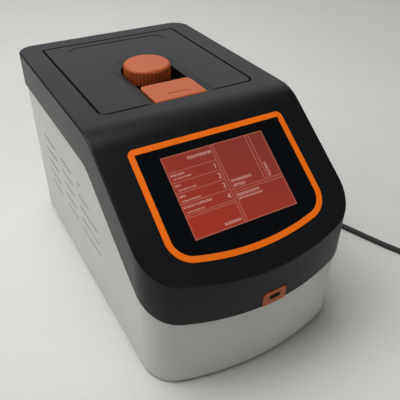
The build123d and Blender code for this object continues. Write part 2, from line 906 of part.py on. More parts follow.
blade_root = fan_hub_radius - fan_rotor_gap
blade_tip = fan_bore - fan_tip_gap
rotor_length = fan_thickness - fan_web - 1.5 * fan_rotor_gap
with BuildPart() as fan_rotor:
    with BuildSketch(Plane.XZ.offset(-(fan_front_y + fan_rotor_gap))):
        with Locations((0, fan_z)):
            Circle(fan_hub_radius)
    extrude(amount=-rotor_length)
    for index in range(fan_blades):
        turn = 2 * pi * index / fan_blades
        out = Vector(cos(turn), 0, sin(turn))
        across = Vector(-sin(turn), 0, cos(turn))
        middle = Vector(0, fan_front_y + fan_rotor_gap + rotor_length / 2, fan_z)
        for reach, (chord, pitch, thick) in ((blade_root, blade_root_shape), (fan_bore, blade_tip_shape)):
            lean = Vector(0, cos(radians(pitch)), 0) + across * sin(radians(pitch))
            with BuildSketch(Plane(origin=middle + out * reach, x_dir=lean, z_dir=out)):
                Rectangle(chord, thick)
        loft()
    with BuildSketch(fan_axis):
        with Locations((0, fan_z)):
            Circle(blade_tip)
    extrude(amount=-fan_thickness, mode=Mode.INTERSECT)
keep(fan_rotor, "fan_rotor")

fan_screws = BuildPart()
with fan_screws:
    with BuildSketch(Plane.XZ.offset(-(fan_rear_y + panel_thickness))):
        with Locations(*fan_holes):
            Circle(fan_screw_head)
    extrude(amount=-fan_screw_head_height)
    with BuildSketch(Plane.XZ.offset(-(fan_rear_y + panel_thickness))):
        with Locations(*fan_holes):
            Circle(fan_hole_radius)
    extrude(amount=fan_screw_length)
keep(fan_screws, "fan_screws")

guard_step = (fan_bore - guard_bar) / guard_rings
with BuildPart() as finger_guard:
    with BuildSketch(Plane.XZ.offset(-(fan_rear_y + panel_thickness))):
        with Locations((0, fan_z)):
            for index in range(guard_rings):
                radius = guard_step * (index + 1)
                Circle(radius + guard_bar / 2)
                Circle(radius - guard_bar / 2, mode=Mode.SUBTRACT)
            for angle in (45, 135):
                Rectangle(2 * fan_bore, guard_bar, rotation=angle)
            for x, z in ((-1, -1), (-1, 1), (1, -1), (1, 1)):
                with Locations((x * fan_bore * 0.75, z * fan_bore * 0.75)):
                    Rectangle(fan_bore * 0.36, guard_bar, rotation=45 * x * z)
        with Locations(*fan_holes):
            Circle(guard_eye)
            Circle(fan_screw_head + running_gap, mode=Mode.SUBTRACT)
    extrude(amount=-guard_bar)
keep(finger_guard, "finger_guard")

# Rear panel: sheet steel behind the lower casing's rear window
panel_y = rear_y - wall_inner - panel_thickness
panel_screw_x = panel_width / 2 - panel_border - panel_screw_inset[0]
panel_screw_z = panel_height / 2 - panel_screw_inset[1]
panel_middle_z = panel_bottom + panel_height / 2
panel_screw_places = [(x * panel_screw_x, panel_middle_z + z * panel_screw_z) for x in (-1, 1) for z in (-1, 1)]
switch_z = inlet_z + switch_above
with BuildPart() as rear_panel:
    with BuildSketch(Plane.XZ.offset(-panel_y)):
        with Locations((0, panel_bottom + panel_height / 2)):
            Rectangle(panel_width, panel_height)
        with Locations((0, fan_z)):
            Circle(fan_bore, mode=Mode.SUBTRACT)
        with Locations(*fan_holes, *panel_screw_places):
            Circle(fan_hole_radius + running_gap, mode=Mode.SUBTRACT)
        with Locations((inlet_x, inlet_z)):
            Rectangle(inlet_body_width + fit_gap, inlet_body_height + fit_gap, mode=Mode.SUBTRACT)
        with Locations((inlet_x, inlet_z + drawer_above)):
            Rectangle(
                drawer_width + 2 * drawer_sleeve + fit_gap,
                drawer_height + 2 * drawer_sleeve + fit_gap,
                mode=Mode.SUBTRACT,
            )
        with Locations((inlet_x, switch_z)):
            Rectangle(
                switch_width - 2 * switch_border + 2 * fit_gap,
                switch_height - 2 * switch_border + 2 * fit_gap,
                mode=Mode.SUBTRACT,
            )
    extrude(amount=-panel_thickness)
keep(rear_panel, "rear_panel")

panel_screws = BuildPart()
with panel_screws:
    with BuildSketch(Plane.XZ.offset(-(panel_y + panel_thickness))):
        with Locations(*panel_screw_places):
            Circle(panel_screw_head)
    extrude(amount=-panel_screw_head_height)
    with BuildSketch(Plane.XZ.offset(-(panel_y + panel_thickness))):
        with Locations(*panel_screw_places):
            Circle(fan_hole_radius)
    extrude(amount=panel_screw_length)
keep(panel_screws, "panel_screws")

# Mains inlet with a fuse drawer above its socket
inlet_face = panel_y + panel_thickness
inlet_middle = inlet_z + drawer_above / 2 - 2
with BuildPart() as mains_inlet:
    with BuildSketch(Plane.XZ.offset(-inlet_face)):
        with Locations((inlet_x, inlet_middle)):
            RectangleRounded(inlet_flange_width, inlet_flange_height, inlet_corner)
    extrude(amount=-inlet_flange)
    with BuildSketch(Plane.XZ.offset(-inlet_face)):
        with Locations((inlet_x, inlet_z)):
            Rectangle(inlet_body_width, inlet_body_height)
        with Locations((inlet_x, inlet_z + drawer_above)):
            Rectangle(drawer_width + 2 * drawer_sleeve, drawer_height + 2 * drawer_sleeve)
    extrude(amount=inlet_depth + 4 * inlet_flange)
    with BuildSketch(Plane.XZ.offset(-(inlet_face + inlet_flange))):
        with Locations((inlet_x, inlet_z)):
            Rectangle(inlet_socket_width, inlet_socket_height)
    extrude(amount=inlet_socket_depth + inlet_flange, mode=Mode.SUBTRACT)
    with BuildSketch(Plane.XZ.offset(-(inlet_face + inlet_flange))):
        with Locations((inlet_x, inlet_z + drawer_above)):
            Rectangle(drawer_width + 2 * fit_gap, drawer_height + 2 * fit_gap)
    extrude(amount=drawer_depth + fit_gap, mode=Mode.SUBTRACT)
keep(mains_inlet, "mains_inlet")

socket_floor = inlet_face - inlet_socket_depth
inlet_pin_places = [
    (inlet_x + side * inlet_pin_spread, inlet_z + (1 - 2 * abs(side)) * inlet_pin_rise) for side in (-1, 0, 1)
]
with BuildPart() as inlet_pins:
    with BuildSketch(Plane.XZ.offset(-socket_floor)):
        with Locations(*inlet_pin_places):
            Rectangle(*inlet_pin_size)
    extrude(amount=-(inlet_socket_depth - inlet_pin_short))
keep(inlet_pins, "inlet_pins")

fuse_middle_y = inlet_face + inlet_flange - drawer_depth / 2
with BuildPart() as fuse_drawer:
    with BuildSketch(Plane.XZ.offset(-(inlet_face + inlet_flange))):
        with Locations((inlet_x, inlet_z + drawer_above)):
            Rectangle(drawer_width, drawer_height)
    extrude(amount=drawer_depth)
    with BuildSketch(Plane.XY.offset(inlet_z + drawer_above + drawer_height / 2)):
        with Locations((inlet_x, fuse_middle_y)):
            with GridLocations(fuse_pitch, 1, 2, 1):
                Rectangle(*fuse_bay)
    extrude(amount=-(drawer_height - drawer_floor), mode=Mode.SUBTRACT)
keep(fuse_drawer, "fuse_drawer")

with BuildPart() as fuses:
    with BuildSketch(Plane.XZ.offset(-(fuse_middle_y - fuse_length / 2))):
        with Locations((inlet_x, inlet_z + drawer_above - drawer_height / 2 + drawer_floor + fuse_radius)):
            with GridLocations(fuse_pitch, 1, 2, 1):
                Circle(fuse_radius)
    extrude(amount=-fuse_length)
keep(fuses, "fuses")

# Power switch: snap-in housing and a rocker that turns on two short trunnions
rocker_pivot = (0, inlet_face - rocker_pivot_depth, switch_z)
with BuildPart() as switch_housing:
    with BuildSketch(Plane.XZ.offset(-inlet_face)):
        with Locations((inlet_x, switch_z)):
            RectangleRounded(switch_width, switch_height, switch_corner)
    extrude(amount=-inlet_flange)
    with BuildSketch(Plane.XZ.offset(-inlet_face)):
        with Locations((inlet_x, switch_z)):
            Rectangle(switch_width - 2 * switch_border, switch_height - 2 * switch_border)
    extrude(amount=switch_depth)
    with BuildSketch(Plane.XZ.offset(-(inlet_face + inlet_flange))):
        with Locations((inlet_x, switch_z)):
            Rectangle(rocker_width + rocker_gap, rocker_height + rocker_gap)
    extrude(amount=rocker_well, mode=Mode.SUBTRACT)
    with BuildSketch(Plane.YZ.offset(inlet_x)):
        with Locations((rocker_pivot[1], rocker_pivot[2])):
            Circle(trunnion_radius + running_gap)
    extrude(amount=rocker_width / 2 + trunnion_length + fit_gap, both=True, mode=Mode.SUBTRACT)
keep(switch_housing, "switch_housing")

rocker_end = rocker_height / 2 - rocker_edge
with BuildPart() as switch_rocker:
    with BuildSketch(Plane.YZ.offset(inlet_x)):
        with BuildLine():
            face = ThreePointArc(
                (inlet_face + rocker_proud, switch_z + rocker_end),
                (inlet_face + rocker_proud - rocker_dip, switch_z),
                (inlet_face + rocker_proud, switch_z - rocker_end),
            )
            Polyline(
                face @ 1,
                (inlet_face - rocker_depth, switch_z - rocker_end),
                (inlet_face - rocker_keel, switch_z),
                (inlet_face - rocker_depth, switch_z + rocker_end),
                face @ 0,
            )
        make_face()
    extrude(amount=rocker_width / 2, both=True)
    with BuildSketch(Plane.YZ.offset(inlet_x)):
        with Locations((rocker_pivot[1], rocker_pivot[2])):
            Circle(trunnion_radius)
    extrude(amount=rocker_width / 2 + trunnion_length, both=True)
    rocker_body = switch_rocker.part.rotate(Axis(rocker_pivot, (1, 0, 0)), rocker_tilt)
switch_rocker = BuildPart()
with switch_rocker:
    add(rocker_body)
keep(switch_rocker, "switch_rocker")

# Power supply: folded steel box on the base plate
with BuildPart() as power_supply:
    with BuildSketch(Plane.XY.offset(floor_z)):
        with Locations(supply_centre):
            Rectangle(supply_width, supply_depth)
    extrude(amount=supply_height)
    with BuildSketch(Plane.XY.offset(floor_z + supply_height)):
        with Locations(supply_centre):
            with GridLocations((supply_width - 2 * supply_slot) / (supply_slots + 2), 1, supply_slots, 1):
                Rectangle(supply_slot, supply_depth - supply_slot_border)
    extrude(amount=-duct_wall, mode=Mode.SUBTRACT)
keep(power_supply, "power_supply")

# Main board on standoffs, with its processor, connectors and capacitors
board_y = front_y + board_from_front + board_depth / 2
board_posts = [
    (x * (board_width / 2 - board_post_inset), board_y + y * (board_depth / 2 - board_post_inset))
    for x in (-1, 1)
    for y in (-1, 1)
]
with BuildPart() as board_standoffs:
    with BuildSketch(Plane.XY.offset(floor_z)):
        with Locations(*board_posts):
            RegularPolygon(board_post_radius, 6)
    extrude(amount=board_lift)
keep(board_standoffs, "board_standoffs")

with BuildPart() as main_board:
    with BuildSketch(Plane.XY.offset(floor_z + board_lift)):
        with Locations((0, board_y)):
            RectangleRounded(board_width, board_depth, board_corner)
    extrude(amount=board_thickness)
    with BuildSketch(Plane.XY.offset(floor_z + board_lift + board_thickness)):
        with Locations((-board_width / 6, board_y + board_depth / 12)):
            Rectangle(processor_side, processor_side)
        with Locations((board_width / 4, board_y)):
            with GridLocations(1, board_depth / 3, 1, 2):
                Rectangle(*connector_block)
        with Locations((-0.39 * board_width, board_y)):
            with GridLocations(1, board_depth / 6, 1, 4):
                Circle(capacitor_radius)
    extrude(amount=part_height)
keep(main_board, "main_board")

# Touch panel: moulded ring, dark glass, display module and the sheet bracket that clamps them
with BuildPart() as bezel_ring:
    extrude(ring_outline(0, ring_proud), amount=-(skin + ring_proud))
    extrude(ring_outline(-ring_width, ring_proud), amount=-(glass_thickness + ring_proud), mode=Mode.SUBTRACT)
    extrude(ring_outline(-ring_width - ring_ledge, 0), amount=-skin, mode=Mode.SUBTRACT)
keep(bezel_ring, "bezel_ring")

with BuildPart() as panel_glass:
    extrude(ring_outline(-ring_width - glass_gap, 0), amount=-glass_thickness)
keep(panel_glass, "panel_glass")

screen_middle = (screen_shift, -(screen_top + screen_height / 2))
module_size = (screen_width + 2 * display_border, screen_height + 2 * display_border)
with BuildPart() as display_module:
    with BuildSketch(slope.offset(-(glass_thickness + running_gap))):
        with Locations(screen_middle):
            Rectangle(*module_size)
    extrude(amount=-display_thickness)
    with BuildSketch(slope.offset(-(skin + bracket_sheet))):
        with Locations(screen_middle):
            with GridLocations(module_size[0], 1, 2, 1):
                Rectangle(2 * display_border, module_size[1] / 2)
    extrude(amount=-bracket_sheet)
keep(display_module, "display_module")

with BuildPart() as display_bracket:
    extrude(ring_outline(bracket_border, -skin), amount=-bracket_sheet)
    with BuildSketch(slope.offset(-skin)):
        with Locations(screen_middle):
            Rectangle(module_size[0] + 2 * fit_gap, module_size[1] + 2 * fit_gap)
    extrude(amount=-bracket_sheet, mode=Mode.SUBTRACT)
keep(display_bracket, "display_bracket")

# Host socket: snap-in surround with a shelf behind it, a small board and the shielded socket
shelf_z = socket_z - socket_height / 2 - board_thickness
port_bottom = seam_height(front_y) - casing_step
shelf_rear_y = front_y + 2 * socket_depth
shelf_front_y = front_y + wall_inner + seam_gap
flange_y = front_y + skin + fit_gap
with BuildPart() as usb_surround:
    extrude(plan_outline(-port_proud), amount=case_height)
    extrude(plan_outline(skin + fit_gap), amount=case_height, mode=Mode.SUBTRACT)
    with BuildSketch(Plane.XZ.offset(-(front_y - port_proud))) as front_shape:
        with Locations((port_x, (port_top + port_bottom) / 2)):
            Rectangle(port_width, port_top - port_bottom)
        fillet(front_shape.vertices().group_by(Axis.Y)[-1], port_round)
    extrude(amount=-2 * (skin + port_proud), mode=Mode.INTERSECT)
    with BuildPart(mode=Mode.PRIVATE) as port_flange_plate:
        extrude(plan_outline(skin + fit_gap), amount=case_height)
        with BuildSketch(Plane.XZ.offset(-flange_y)):
            with Locations((port_x, (port_top + shelf_z) / 2)):
                Rectangle(port_width + 2 * port_flange, port_top - shelf_z + 2 * port_flange)
        extrude(amount=-port_flange_thickness, mode=Mode.INTERSECT)
    add(port_flange_plate.part)
    extrude(under_seam(seam_gap), amount=case_width, both=True, mode=Mode.SUBTRACT)
    with BuildSketch(Plane.XY.offset(shelf_z)):
        with Locations((port_x, (shelf_front_y + shelf_rear_y) / 2)):
            Rectangle(port_width, shelf_rear_y - shelf_front_y)
    extrude(amount=-port_shelf)
    with BuildSketch(Plane.XZ.offset(-(front_y - 2 * port_proud))):
        with Locations((port_x, socket_z)):
            Rectangle(socket_width + 2 * fit_gap, socket_height + 2 * fit_gap)
    extrude(amount=-2 * socket_depth, mode=Mode.SUBTRACT)
keep(usb_surround, "usb_surround")

with BuildPart() as usb_board:
    with BuildSketch(Plane.XY.offset(shelf_z)):
        with Locations((port_x, (flange_y + port_flange_thickness + shelf_rear_y) / 2)):
            Rectangle(port_width - port_flange, shelf_rear_y - flange_y - port_flange_thickness - port_flange / 2)
    extrude(amount=board_thickness)
keep(usb_board, "usb_board")

with BuildPart() as usb_socket:
    with BuildSketch(Plane.XZ.offset(-front_y)):
        with Locations((port_x, socket_z)):
            Rectangle(socket_width, socket_height)
            Rectangle(socket_width - 2 * socket_sheet, socket_height - 2 * socket_sheet, mode=Mode.SUBTRACT)
    extrude(amount=-socket_depth)
    with BuildSketch(Plane.XZ.offset(-(front_y + socket_depth))):
        with Locations((port_x, socket_z)):
            Rectangle(socket_width, socket_height)
    extrude(amount=-socket_sheet)
    with BuildSketch(Plane.XZ.offset(-(front_y + socket_depth))):
        with Locations((port_x, socket_z + socket_height / 4)):
            Rectangle(socket_width - 6 * socket_sheet, socket_height / 4)
    extrude(amount=socket_depth - port_flange)
keep(usb_socket, "usb_socket")

# Lid cover: moulded panel with a skirt, a dished channel and a well for the knob and the latch
panel_under = case_height - lid_panel
pocket_floor = case_height - channel_depth
pin_y = lid_front_y + latch_pin_behind
pin_z = case_height - latch_pin_below
hook_front_y = pin_y + latch_pin_radius + latch_gap
hook_half = hook_width / 2
lid_boss_places = [(x * lid_boss_spread, lid_front_y + y) for x in (-1, 1) for y in lid_boss_from_front]
with BuildPart() as lid_cover:
    extrude(lid_outline(0, case_height), amount=-lid_panel)
    fillet(lid_cover.faces().sort_by(Axis.Z)[-1].edges(), lid_edge_round)
    extrude(lid_outline(-lid_skirt_inset, lid_skirt_bottom), amount=panel_under - lid_skirt_bottom)
    extrude(
        lid_outline(-skirt_inner, lid_skirt_bottom),
        amount=panel_under - lid_skirt_bottom,
        mode=Mode.SUBTRACT,
    )
    extrude(
        channel_outline(channel_half + channel_wall, lid_front_y + lid_skirt_inset, pocket_floor - channel_wall),
        amount=channel_depth + channel_wall - lid_panel,
    )
    with BuildSketch(Plane.XY.offset(lid_skirt_bottom + tray_thickness)):
        with Locations(*lid_boss_places):
            Circle(lid_boss_radius)
    extrude(amount=panel_under - lid_skirt_bottom - tray_thickness)
    with BuildSketch(Plane.XY.offset(lid_skirt_bottom + tray_thickness)):
        with Locations(*lid_boss_places):
            Circle(lid_screw_radius + running_gap)
    extrude(amount=lid_screw_length, mode=Mode.SUBTRACT)
    dish_front = lid_front_y - channel_border
    dish = (
        channel_outline(channel_half, dish_front, case_height - channel_dish),
        channel_outline(channel_half + channel_border, dish_front, case_height),
    )
    loft([outline.face() for outline in dish], mode=Mode.SUBTRACT)
    extrude(
        channel_outline(channel_half, lid_front_y + skirt_inner, pocket_floor),
        amount=channel_depth,
        mode=Mode.SUBTRACT,
    )
    with BuildSketch(Plane.XY.offset(pin_z - latch_lug_radius - latch_gap)):
        with Locations((0, lid_front_y)):
            Rectangle(2 * channel_half, 2 * skirt_inner)
    extrude(amount=channel_depth, mode=Mode.SUBTRACT)
    with BuildSketch(Plane.XY.offset(lid_skirt_bottom)):
        with Locations((0, lid_rear_y - lid_skirt_inset - lid_skirt_wall / 2)):
            Rectangle(lid_width - 2 * lid_rear_notch, 2 * lid_skirt_wall)
    extrude(amount=panel_under - lid_rim_height - lid_skirt_bottom, mode=Mode.SUBTRACT)
    with BuildSketch(Plane.XY.offset(lid_skirt_bottom)):
        with Locations((0, lid_front_y + lid_skirt_inset + lid_skirt_wall / 2)):
            Rectangle(hook_width + 2 * hook_side_room, 2 * lid_skirt_wall)
    extrude(amount=hook_side_room + 2 * hook_plate, mode=Mode.SUBTRACT)
    with BuildSketch(Plane.XY.offset(pocket_floor)):
        with Locations((0, hook_front_y - latch_gap + hook_slot / 2)):
            Rectangle(hook_width + 4 * latch_gap, hook_slot)
        with Locations((0, knob_y)):
            Circle(bush_radius + running_gap)
    extrude(amount=-channel_wall, mode=Mode.SUBTRACT)
    with BuildSketch(Plane.YZ):
        with Locations((pin_y, pin_z)):
            Circle(latch_pin_radius + running_gap)
    extrude(amount=channel_half + channel_wall, both=True, mode=Mode.SUBTRACT)
    with BuildSketch(Plane.XY.offset(case_height)):
        with Locations((0, lid_front_y + label_recess_from_front)):
            SlotOverall(label_recess_width, label_recess_depth)
    extrude(amount=-label_recess, mode=Mode.SUBTRACT)
keep(lid_cover, "lid_cover")

# Lid tray: steel sheet under the cover that carries the heated plate's guides and the hinge arms
tray_top = lid_skirt_bottom + tray_thickness
guide_places = [
    (x * post_spread, knob_y + y * post_pitch / 2) for x in (-1, 1) for y in (-1, 1)
]
tray_rear_y = hinge_y - hinge_boss_radius - tray_hinge_gap
with BuildPart() as lid_tray:
    extrude(lid_outline(-skirt_inner - tray_gap, lid_skirt_bottom), amount=tray_thickness)
    with BuildSketch(Plane.XY.offset(lid_skirt_bottom)):
        with Locations((0, (tray_rear_y + lid_rear_y) / 2)):
            Rectangle(lid_width, lid_rear_y - tray_rear_y)
        with Locations((0, knob_y)):
            Rectangle(heated_width + 2 * tray_window_gap, heated_depth + 2 * tray_window_gap)
        with Locations((0, lid_front_y + skirt_inner + hook_slot)):
            Rectangle(hook_width + 2 * hook_side_room, 2 * hook_slot)
        with Locations(*lid_boss_places):
            Circle(lid_screw_radius + running_gap)
    extrude(amount=tray_thickness, mode=Mode.SUBTRACT)
keep(lid_tray, "lid_tray")

lid_screws = screws(
    lid_boss_places, lid_skirt_bottom, lid_screw_head, lid_screw_head_height, lid_screw_radius, lid_screw_length
)
keep(lid_screws, "lid_screws")

with BuildPart() as guide_posts:
    with BuildSketch(Plane.XY.offset(tray_top)):
        with Locations(*guide_places):
            Circle(guide_radius)
    extrude(amount=guide_top - tray_top)
    with BuildSketch(Plane.XY.offset(guide_top)):
        with Locations(*guide_places):
            Circle(guide_head_radius)
    extrude(amount=guide_head)
keep(guide_posts, "guide_posts")

# Lid hinge: two clevises on the tray turn on pins held by two brackets on the tub floor
ear_inner = bracket_width / 2 + hinge_side_gap
ear_outer = ear_inner + hinge_ear
arm_foot_rear = tray_rear_y
arm_foot_front = arm_foot_rear - hinge_foot_length
with BuildPart() as hinge_arms:
    with BuildSketch(Plane.XY.offset(tray_top)):
        with Locations((0, (arm_foot_front + arm_foot_rear) / 2)):
            with GridLocations(2 * hinge_spread, 1, 2, 1):
                Rectangle(2 * ear_outer, hinge_foot_length)
    extrude(amount=hinge_foot_thickness)
    for side in (-1, 1):
        for ear in (-1, 1):
            ear_middle = side * hinge_spread + ear * (ear_inner + hinge_ear / 2)
            with BuildSketch(Plane.YZ.offset(ear_middle)) as ear_shape:
                with Locations(((arm_foot_front + arm_foot_rear) / 2, tray_top + hinge_foot_thickness / 2)):
                    Rectangle(hinge_foot_length, hinge_foot_thickness)
                with Locations((hinge_y, hinge_z)):
                    Circle(hinge_boss_radius)
                make_hull(ear_shape.edges())
            extrude(amount=hinge_ear / 2, both=True)
    with BuildSketch(Plane.YZ):
        with Locations((hinge_y, hinge_z)):
            Circle(hinge_pin_radius + running_gap)
    extrude(amount=hinge_spread + ear_outer, both=True, mode=Mode.SUBTRACT)
keep(hinge_arms, "lid_hinge_arms")

bracket_front = tray_rear_y + bracket_front_gap
bracket_rear = bracket_front + bracket_depth
with BuildPart() as hinge_brackets:
    for side in (-1, 1):
        with BuildSketch(Plane.YZ.offset(side * hinge_spread)) as stem_shape:
            with Locations((hinge_y, hinge_z)):
                Circle(hinge_boss_radius)
            with Locations(((bracket_front + bracket_rear) / 2, (tub_floor_top + hinge_z) / 2)):
                Rectangle(bracket_depth, hinge_z - tub_floor_top)
        extrude(amount=bracket_width / 2, both=True)
    with BuildSketch(Plane.XY.offset(tub_floor_top)):
        with Locations((0, (bracket_front + bracket_rear) / 2)):
            with GridLocations(2 * hinge_spread, 1, 2, 1):
                Rectangle(3 * bracket_width, bracket_foot_length)
    extrude(amount=hinge_foot_thickness)
    with BuildSketch(Plane.YZ):
        with Locations((hinge_y, hinge_z)):
            Circle(hinge_pin_radius + hinge_press_gap)
    extrude(amount=hinge_spread + ear_outer, both=True, mode=Mode.SUBTRACT)
keep(hinge_brackets, "hinge_brackets")

with BuildPart() as hinge_pins:
    for side in (-1, 1):
        with BuildSketch(Plane.YZ.offset(side * hinge_spread)):
            with Locations((hinge_y, hinge_z)):
                Circle(hinge_pin_radius)
        extrude(amount=ear_outer + hinge_pin_proud, both=True)
keep(hinge_pins, "hinge_pins")

# Heated plate stack: plate, heater mat, insulation and the frame that the screw pushes down
heated_top = heated_bottom + heated_thickness
mat_top = heated_top + heater_thickness
frame_bottom = mat_top + insulation_thickness
with BuildPart() as heated_plate:
    with BuildSketch(Plane.XY.offset(heated_bottom)):
        with Locations((0, knob_y)):
            RectangleRounded(heated_width, heated_depth, heated_corner)
    extrude(amount=heated_thickness)
    chamfer(heated_plate.faces().sort_by(Axis.Z)[0].edges(), heated_chamfer)
keep(heated_plate, "heated_plate")

with BuildPart() as heater_mat:
    with BuildSketch(Plane.XY.offset(heated_top)):
        with Locations((0, knob_y)):
            Rectangle(heated_width - 2 * heater_inset, heated_depth - 2 * heater_inset)
    extrude(amount=heater_thickness)
keep(heater_mat, "heater_mat")

with BuildPart() as insulation_pad:
    with BuildSketch(Plane.XY.offset(mat_top)):
        with Locations((0, knob_y)):
            Rectangle(heated_width, heated_depth)
            Circle(screw_radius + insulation_hole_gap, mode=Mode.SUBTRACT)
    extrude(amount=insulation_thickness)
keep(insulation_pad, "insulation_pad")

with BuildPart() as pressure_frame:
    with BuildSketch(Plane.XY.offset(frame_bottom)):
        with Locations((0, knob_y)):
            RectangleRounded(frame_reach, frame_depth, heated_corner + insulation_hole_gap)
        with Locations(*guide_places):
            Circle(guide_radius + running_gap, mode=Mode.SUBTRACT)
    extrude(amount=frame_thickness)
    with BuildSketch(Plane.XY.offset(frame_bottom)):
        with Locations((0, knob_y)):
            Circle(nut_radius)
    extrude(amount=frame_thickness + nut_height)
    with BuildSketch(Plane.XY.offset(frame_bottom)):
        with Locations((0, knob_y)):
            Circle(screw_radius + running_gap)
    extrude(amount=frame_thickness + nut_height, mode=Mode.SUBTRACT)
keep(pressure_frame, "pressure_frame")

# Pressure knob on the lead screw, in a flanged bush
knob_top = case_height + knob_proud
knob_bottom = knob_top - knob_height
with BuildPart() as pressure_knob:
    with BuildSketch(Plane.XY.offset(knob_bottom)):
        with Locations((0, knob_y)):
            Circle(knob_radius)
    extrude(amount=knob_height)
    fillet(pressure_knob.edges().group_by(Axis.Z)[-1], knob_edge_round)
    with BuildSketch(Plane.XY.offset(knob_bottom)):
        with Locations((0, knob_y)):
            Circle(knob_hollow_radius)
            Circle(knob_hub_radius, mode=Mode.SUBTRACT)
    extrude(amount=knob_hollow_depth, mode=Mode.SUBTRACT)
    with BuildSketch(Plane.XY.offset(knob_bottom)):
        with Locations((0, knob_y)):
            Circle(screw_radius + running_gap)
    extrude(amount=knob_hollow_depth, mode=Mode.SUBTRACT)
    with BuildSketch(Plane.XY.offset(knob_bottom)):
        with Locations((0, knob_y)):
            with PolarLocations(knob_radius, knob_flutes):
                Rectangle(flute_depth * sqrt(2), flute_depth * sqrt(2), rotation=45)
    extrude(amount=knob_height - knob_edge_round / 2, mode=Mode.SUBTRACT)
keep(pressure_knob, "pressure_knob")

with BuildPart() as lead_screw:
    with BuildSketch(Plane.XY.offset(mat_top + screw_end_gap)):
        with Locations((0, knob_y)):
            Circle(screw_radius)
    extrude(amount=knob_bottom + knob_hollow_depth - mat_top - screw_end_gap - fit_gap)
keep(lead_screw, "lead_screw")

clip_z = pocket_floor - channel_wall - fit_gap
with BuildPart() as screw_bush:
    with BuildSketch(Plane.XY.offset(pocket_floor)):
        with Locations((0, knob_y)):
            Circle(bush_flange_radius)
    extrude(amount=bush_flange)
    with BuildSketch(Plane.XY.offset(clip_z)):
        with Locations((0, knob_y)):
            Circle(bush_radius)
    extrude(amount=pocket_floor - clip_z)
    with BuildSketch(Plane.XY.offset(clip_z)):
        with Locations((0, knob_y)):
            Circle(screw_radius + running_gap)
    extrude(amount=pocket_floor + bush_flange - clip_z, mode=Mode.SUBTRACT)
keep(screw_bush, "screw_bush")

# Release latch: moulded flap with two lugs on its pin and a hook under the tub's striker
latch_front_y = lid_front_y - latch_front_reach
latch_half = channel_half - latch_gap
with BuildPart() as release_latch:
    with BuildSketch(Plane.XY.offset(case_height - latch_thickness)) as flap:
        with Locations((0, latch_front_y + latch_depth / 2)):
            Rectangle(2 * latch_half, latch_depth)
        fillet(flap.vertices().group_by(Axis.Y)[-1], latch_corner)
    extrude(amount=latch_thickness)
    with BuildSketch(Plane.XY.offset(case_height - latch_front_thickness)):
        with Locations((0, latch_front_y + latch_front_thickness / 2)):
            Rectangle(2 * latch_half, latch_front_thickness)
    extrude(amount=latch_front_thickness - latch_thickness)
    nose = release_latch.faces().sort_by(Axis.Y)[0]
    fillet(nose.edges().sort_by(Axis.Z)[-1], latch_front_thickness / 2)
    nose = release_latch.faces().sort_by(Axis.Y)[0]
    fillet(nose.edges().sort_by(Axis.Z)[0], 0.4 * latch_front_thickness)
    for side in (-1, 1):
        with BuildSketch(Plane.YZ.offset(side * latch_lug_spread)) as lug:
            with Locations((pin_y, pin_z)):
                Circle(latch_lug_radius)
            with Locations((pin_y, case_height - latch_thickness / 2 - latch_pin_below / 2)):
                Rectangle(2 * latch_lug_radius, latch_pin_below - latch_thickness)
        extrude(amount=latch_lug_width / 2, both=True)
    with BuildSketch(Plane.YZ):
        with BuildLine():
            Polyline(
                (hook_front_y, case_height - latch_thickness),
                (hook_front_y, hook_bottom + hook_nose),
                (hook_front_y - hook_reach, hook_bottom + hook_nose),
                (hook_front_y - hook_reach, hook_bottom + hook_nose / 2),
                (hook_front_y - hook_reach / 2, hook_bottom),
                (hook_front_y + hook_plate, hook_bottom),
                (hook_front_y + hook_plate, case_height - latch_thickness),
                (hook_front_y, case_height - latch_thickness),
            )
        make_face()
    extrude(amount=hook_half, both=True)
    with BuildSketch(Plane.YZ):
        with Locations((pin_y, pin_z)):
            Circle(latch_pin_radius + running_gap)
    extrude(amount=latch_half, both=True, mode=Mode.SUBTRACT)
    with BuildSketch(Plane.YZ.offset(latch_half)):
        with Locations((pin_y, pin_z)):
            Circle(spring_radius + latch_gap)
    extrude(amount=latch_lug_spread + latch_lug_width / 2 - latch_half, mode=Mode.SUBTRACT)
    with BuildSketch(Plane.XY.offset(case_height)):
        with Locations((latch_recess_shift, latch_front_y + latch_recess_from_front)):
            RectangleRounded(latch_recess_width, latch_recess_depth, latch_recess_corner)
    extrude(amount=-latch_recess, mode=Mode.SUBTRACT)
keep(release_latch, "release_latch")

with BuildPart() as latch_pin:
    with BuildSketch(Plane.YZ):
        with Locations((pin_y, pin_z)):
            Circle(latch_pin_radius)
    extrude(amount=channel_half + channel_wall - fit_gap, both=True)
keep(latch_pin, "latch_pin")

spring_x = latch_lug_spread + latch_lug_width / 2 + latch_gap
with BuildPart() as latch_spring:
    with BuildSketch(Plane.YZ.offset(spring_x)):
        with Locations((pin_y, pin_z)):
            Circle(spring_radius)
            Circle(spring_radius - spring_wire, mode=Mode.SUBTRACT)
    extrude(amount=5 * spring_wire)
    with BuildSketch(Plane.YZ.offset(spring_x)):
        with Locations((pin_y + spring_radius - spring_wire / 2, (pocket_floor + pin_z) / 2)):
            Rectangle(spring_wire, pin_z - pocket_floor)
    extrude(amount=spring_wire)
keep(latch_spring, "latch_spring")

